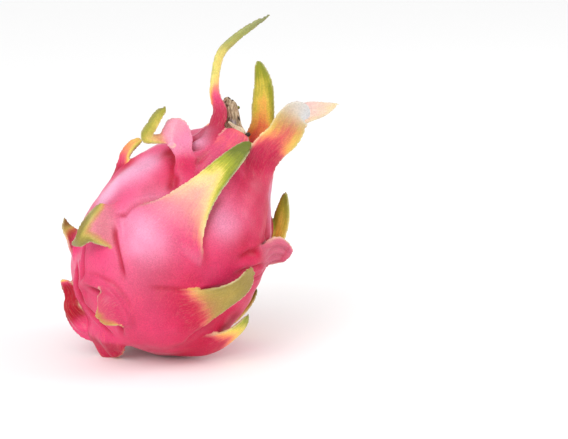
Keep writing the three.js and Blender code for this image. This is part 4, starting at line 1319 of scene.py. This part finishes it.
# %% [markdown]
# ## The dried flower's finish
# Withered petals are bundles of brown fibres with dark gaps between them, and they are cream where the
# tissue is torn. A Wave texture could draw the fibres, but it would look combed. Noise that is stretched
# along the tube is as uneven as dry tissue is, and it drives the colour and the relief together.

# %% dried tissue material
TISSUE = ((0.32, linear(112, 86, 64)), (0.47, linear(170, 144, 114)), (0.64, linear(214, 194, 164)))
GAP_BROWN = linear(52, 38, 30)
ASH = linear(176, 164, 176)
CREAM = linear(210, 192, 162)
# near black, painted as shade inside the mouth, in the holes and at the strip's end
DARK_SHADE = linear(26, 20, 18)
FIBRE_STRETCH = 0.12            # how much finer the noise is across the tube than along it


def dried_tissue_finish(graph):
    """Brown fibres with dark gaps between them, painted shade inside the mouth and holes, and cream where it
    is torn.
    """
    dark, pale, ashen, _ = graph.four("tone")
    upright = graph.node("ShaderNodeMapping", {
        "Vector": graph.spot, "Rotation": (0.0, float(np.pi / 2 - AXIS_TILT), 0.0),
        "Scale": (1.0, 1.0, FIBRE_STRETCH)})
    fibres = graph.noise(1500.0, 4.0, upright)
    gaps = graph.ranged(graph.noise(330.0, 3.0), 0.60, 0.70)
    colour = graph.ramp(fibres, TISSUE)
    for layer, strength, tint in (
            (gaps, 0.8, GAP_BROWN), (ashen, 0.75, ASH), (pale, 0.8, CREAM), (dark, 0.92, DARK_SHADE)):
        colour = graph.mix(graph.times(layer, strength), colour, tint)
    colour, height = graph.speckled(colour, 2600.0, 240.0, 0.22)
    relief = graph.bump(fibres, 0.8, 0.0008)
    return {"Base Color": colour, "Normal": graph.bump(height, 0.3, 0.0004, Normal=relief), "Roughness": 0.85}


flower.data.materials.append(finished("dried_flower_tissue", dried_tissue_finish))
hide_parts("dried_flower")
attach(flower, "root")
print("flower triangles:", sum(len(face.vertices) - 2 for face in flower.data.polygons))

# %% [markdown]
# ## The stem stub
# A picker cuts the fruit off its cactus with a short piece of the woody joint. The cut face shows a
# ring of wood fibres round a soft core. It is a lathe shape with shallow flutes along its side and a
# face that dips in rings, so its looks come from its form as well as from its colour.

# %% stem stub
STUB_OUTLINE = [         # along and radius in mm, from the foot over the side to the middle of the face
    [-57.6, 3.7], [-58.4, 4.1], [-60.5, 4.35], [-62.4, 4.45], [-63.2, 4.2], [-63.45, 3.7], [-63.2, 3.2],
    [-63.35, 2.6], [-63.0, 1.9], [-62.7, 1.2], [-62.9, 0.5]]
STUB_RINGS, STUB_AROUND = 60, 120
STUB_LIMIT = 4.6                # mm, the radius that its flutes stay inside
FLUTES = [(0.03, 9, 0.0, 0.5), (0.02, 17, 0.0, 0.0)]
SPLINTERS = [(0.12, 31, 0.0, 0.0)]
SPLINTERS_FROM, SPLINTERS_FACE = (1.0, 3.0), -62.8      # mm off the axis, and along

outline = through(STUB_OUTLINE, np.linspace(0.0, 1.0, STUB_RINGS))
at, radius = outline[:, :1], outline[:, 1:]
angle = even_angles(STUB_AROUND)
size = np.minimum(radius * (1.0 + waved(FLUTES, angle)), STUB_LIMIT)
splinter = waved(SPLINTERS, angle) * smoothstep(*SPLINTERS_FROM, radius) * (at < SPLINTERS_FACE)
points, quads, fans = closed_surface(rings_off_axis(at + splinter, np.zeros(1), size, angle))
stub = mesh_piece("cut_stem_stub", points, quads, fans)
store_numbers(stub.data, "off_axis", with_poles(size[..., None]))
print("stub:", len(points), "points")

# %% [markdown]
# ## The stub's finish
# Cut wood has a pale core, rings of fibres round it and a dark bark. The rings could be a Wave texture
# too, all of one width. A colour ramp over the distance from the axis lets each ring have its own width
# and colour, and noise pushes the rings out of true.

# %% cut wood material
WOOD_RINGS = (
    (0.10, linear(176, 150, 96)), (0.35, linear(206, 188, 140)), (0.55, linear(150, 126, 78)),
    (0.72, linear(128, 124, 66)), (0.90, linear(104, 86, 52)))
RING_SPACING = 0.18             # of the ramp for each mm off the axis
STREAK_MM = 0.9                 # how far streaks push the rings out


def cut_wood_finish(graph):
    """Rings by distance from the axis, darker at the bark, with streaks along the stem."""
    off_axis = graph.plus(graph.number("off_axis"), graph.times(graph.noise(900.0, 4.0), STREAK_MM))
    rings = graph.ramp(graph.times(off_axis, RING_SPACING), WOOD_RINGS)
    colour, height = graph.speckled(rings, 2200.0, 260.0, 0.2)
    return {"Base Color": colour, "Normal": graph.bump(height, 0.5, 0.0005), "Roughness": 0.8}


stub.data.materials.append(finished("cut_stem_wood", cut_wood_finish))
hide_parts("stem_stub")
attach(stub, "root")
print("stub triangles:", sum(len(face.vertices) - 2 for face in stub.data.polygons))

# %% [markdown]
# ## Floor, light and camera
# A plain pale floor, a pale sky all round, a broad sun-like window light from the upper left, and two
# soft boxes for the gentle highlights of a waxy fruit. The camera looks slightly down from the front.

# %% floor
FLOOR_SIZE = 8.0                # m


def floor_piece():
    """A square floor under the rest spot."""
    half = FLOOR_SIZE / 2
    mesh = bpy.data.meshes.new("floor")
    corners = [(-half, -half, 0), (half, -half, 0), (half, half, 0), (-half, half, 0)]
    mesh.from_pydata(corners, [], [(0, 1, 2, 3)])
    material = bpy.data.materials.new("pale_floor")
    material.use_nodes = True
    shader = material.node_tree.nodes["Principled BSDF"]
    shader.inputs["Base Color"].default_value = (0.96, 0.96, 0.96, 1.0)
    shader.inputs["Roughness"].default_value = 0.9
    shader.inputs["Specular IOR Level"].default_value = 0.1
    mesh.materials.append(material)
    return in_scene("floor", mesh)


floor_piece()
print("floor (m):", FLOOR_SIZE, "wide")

# %% lights
WINDOW = ((-0.6, -1.0, 0.9), 0.7, 5.2)          # place in m, size in m, power in W
REFLECTOR = ((0.9, 0.1, 0.45), 0.5, 3.0)
SUN_HEADING = (0.40, 0.85, -0.75)
SUN_WIDTH = np.radians(70.0)                    # broad, so that its shadows are soft
SUN_STRENGTH, SKY_STRENGTH = 0.95, 0.78


def aimed(heading):
    """Turn that points a light's own -Z along a heading."""
    return heading.to_track_quat("-Z", "Y").to_matrix().to_4x4()


def soft_light(name, spot, size, power):
    """A square light of the given size in metres that looks at the middle of the fruit."""
    data = bpy.data.lights.new(name, "AREA")
    data.shape = "SQUARE"
    data.size = size
    data.energy = power
    in_scene(name, data).matrix_world = Matrix.Translation(spot) @ aimed(Vector(MIDDLE * MM) - Vector(spot))


soft_light("window", *WINDOW)
soft_light("reflector", *REFLECTOR)
broad = bpy.data.lights.new("broad_window", "SUN")
broad.angle = SUN_WIDTH
broad.energy = SUN_STRENGTH
in_scene("broad_window", broad).matrix_world = aimed(Vector(SUN_HEADING))
world = bpy.data.worlds.new("studio")
world.use_nodes = True
world.node_tree.nodes["Background"].inputs["Color"].default_value = (1.0, 1.0, 1.0, 1.0)
world.node_tree.nodes["Background"].inputs["Strength"].default_value = SKY_STRENGTH
bpy.context.scene.world = world
bpy.context.scene.view_settings.view_transform = "Standard"
print("lights:", [light.name for light in bpy.data.lights])

# %% camera
ELEVATION = np.radians(14.0)
DISTANCE = 900.0                # mm
LENS_MM, SENSOR_MM = 114.08, 36.0
RIGHT = np.array([1.0, 0.0, 0.0])
UP = np.array([0.0, np.sin(ELEVATION), np.cos(ELEVATION)])
AHEAD = np.array([0.0, np.cos(ELEVATION), -np.sin(ELEVATION)])
AIM = MIDDLE + 50.5 * RIGHT + 7.25 * UP         # so that the fruit stands at the left of the picture
eye = AIM - DISTANCE * AHEAD
camera_data = bpy.data.cameras.new("camera")
camera_data.lens = LENS_MM
camera_data.sensor_width = SENSOR_MM
camera = in_scene("camera", camera_data)
turn = Matrix((RIGHT, UP, -AHEAD)).transposed().to_4x4()
camera.matrix_world = Matrix.Translation(Vector(eye * MM)) @ turn
bpy.context.scene.camera = camera
print("camera at (m):", (eye * MM).round(3))
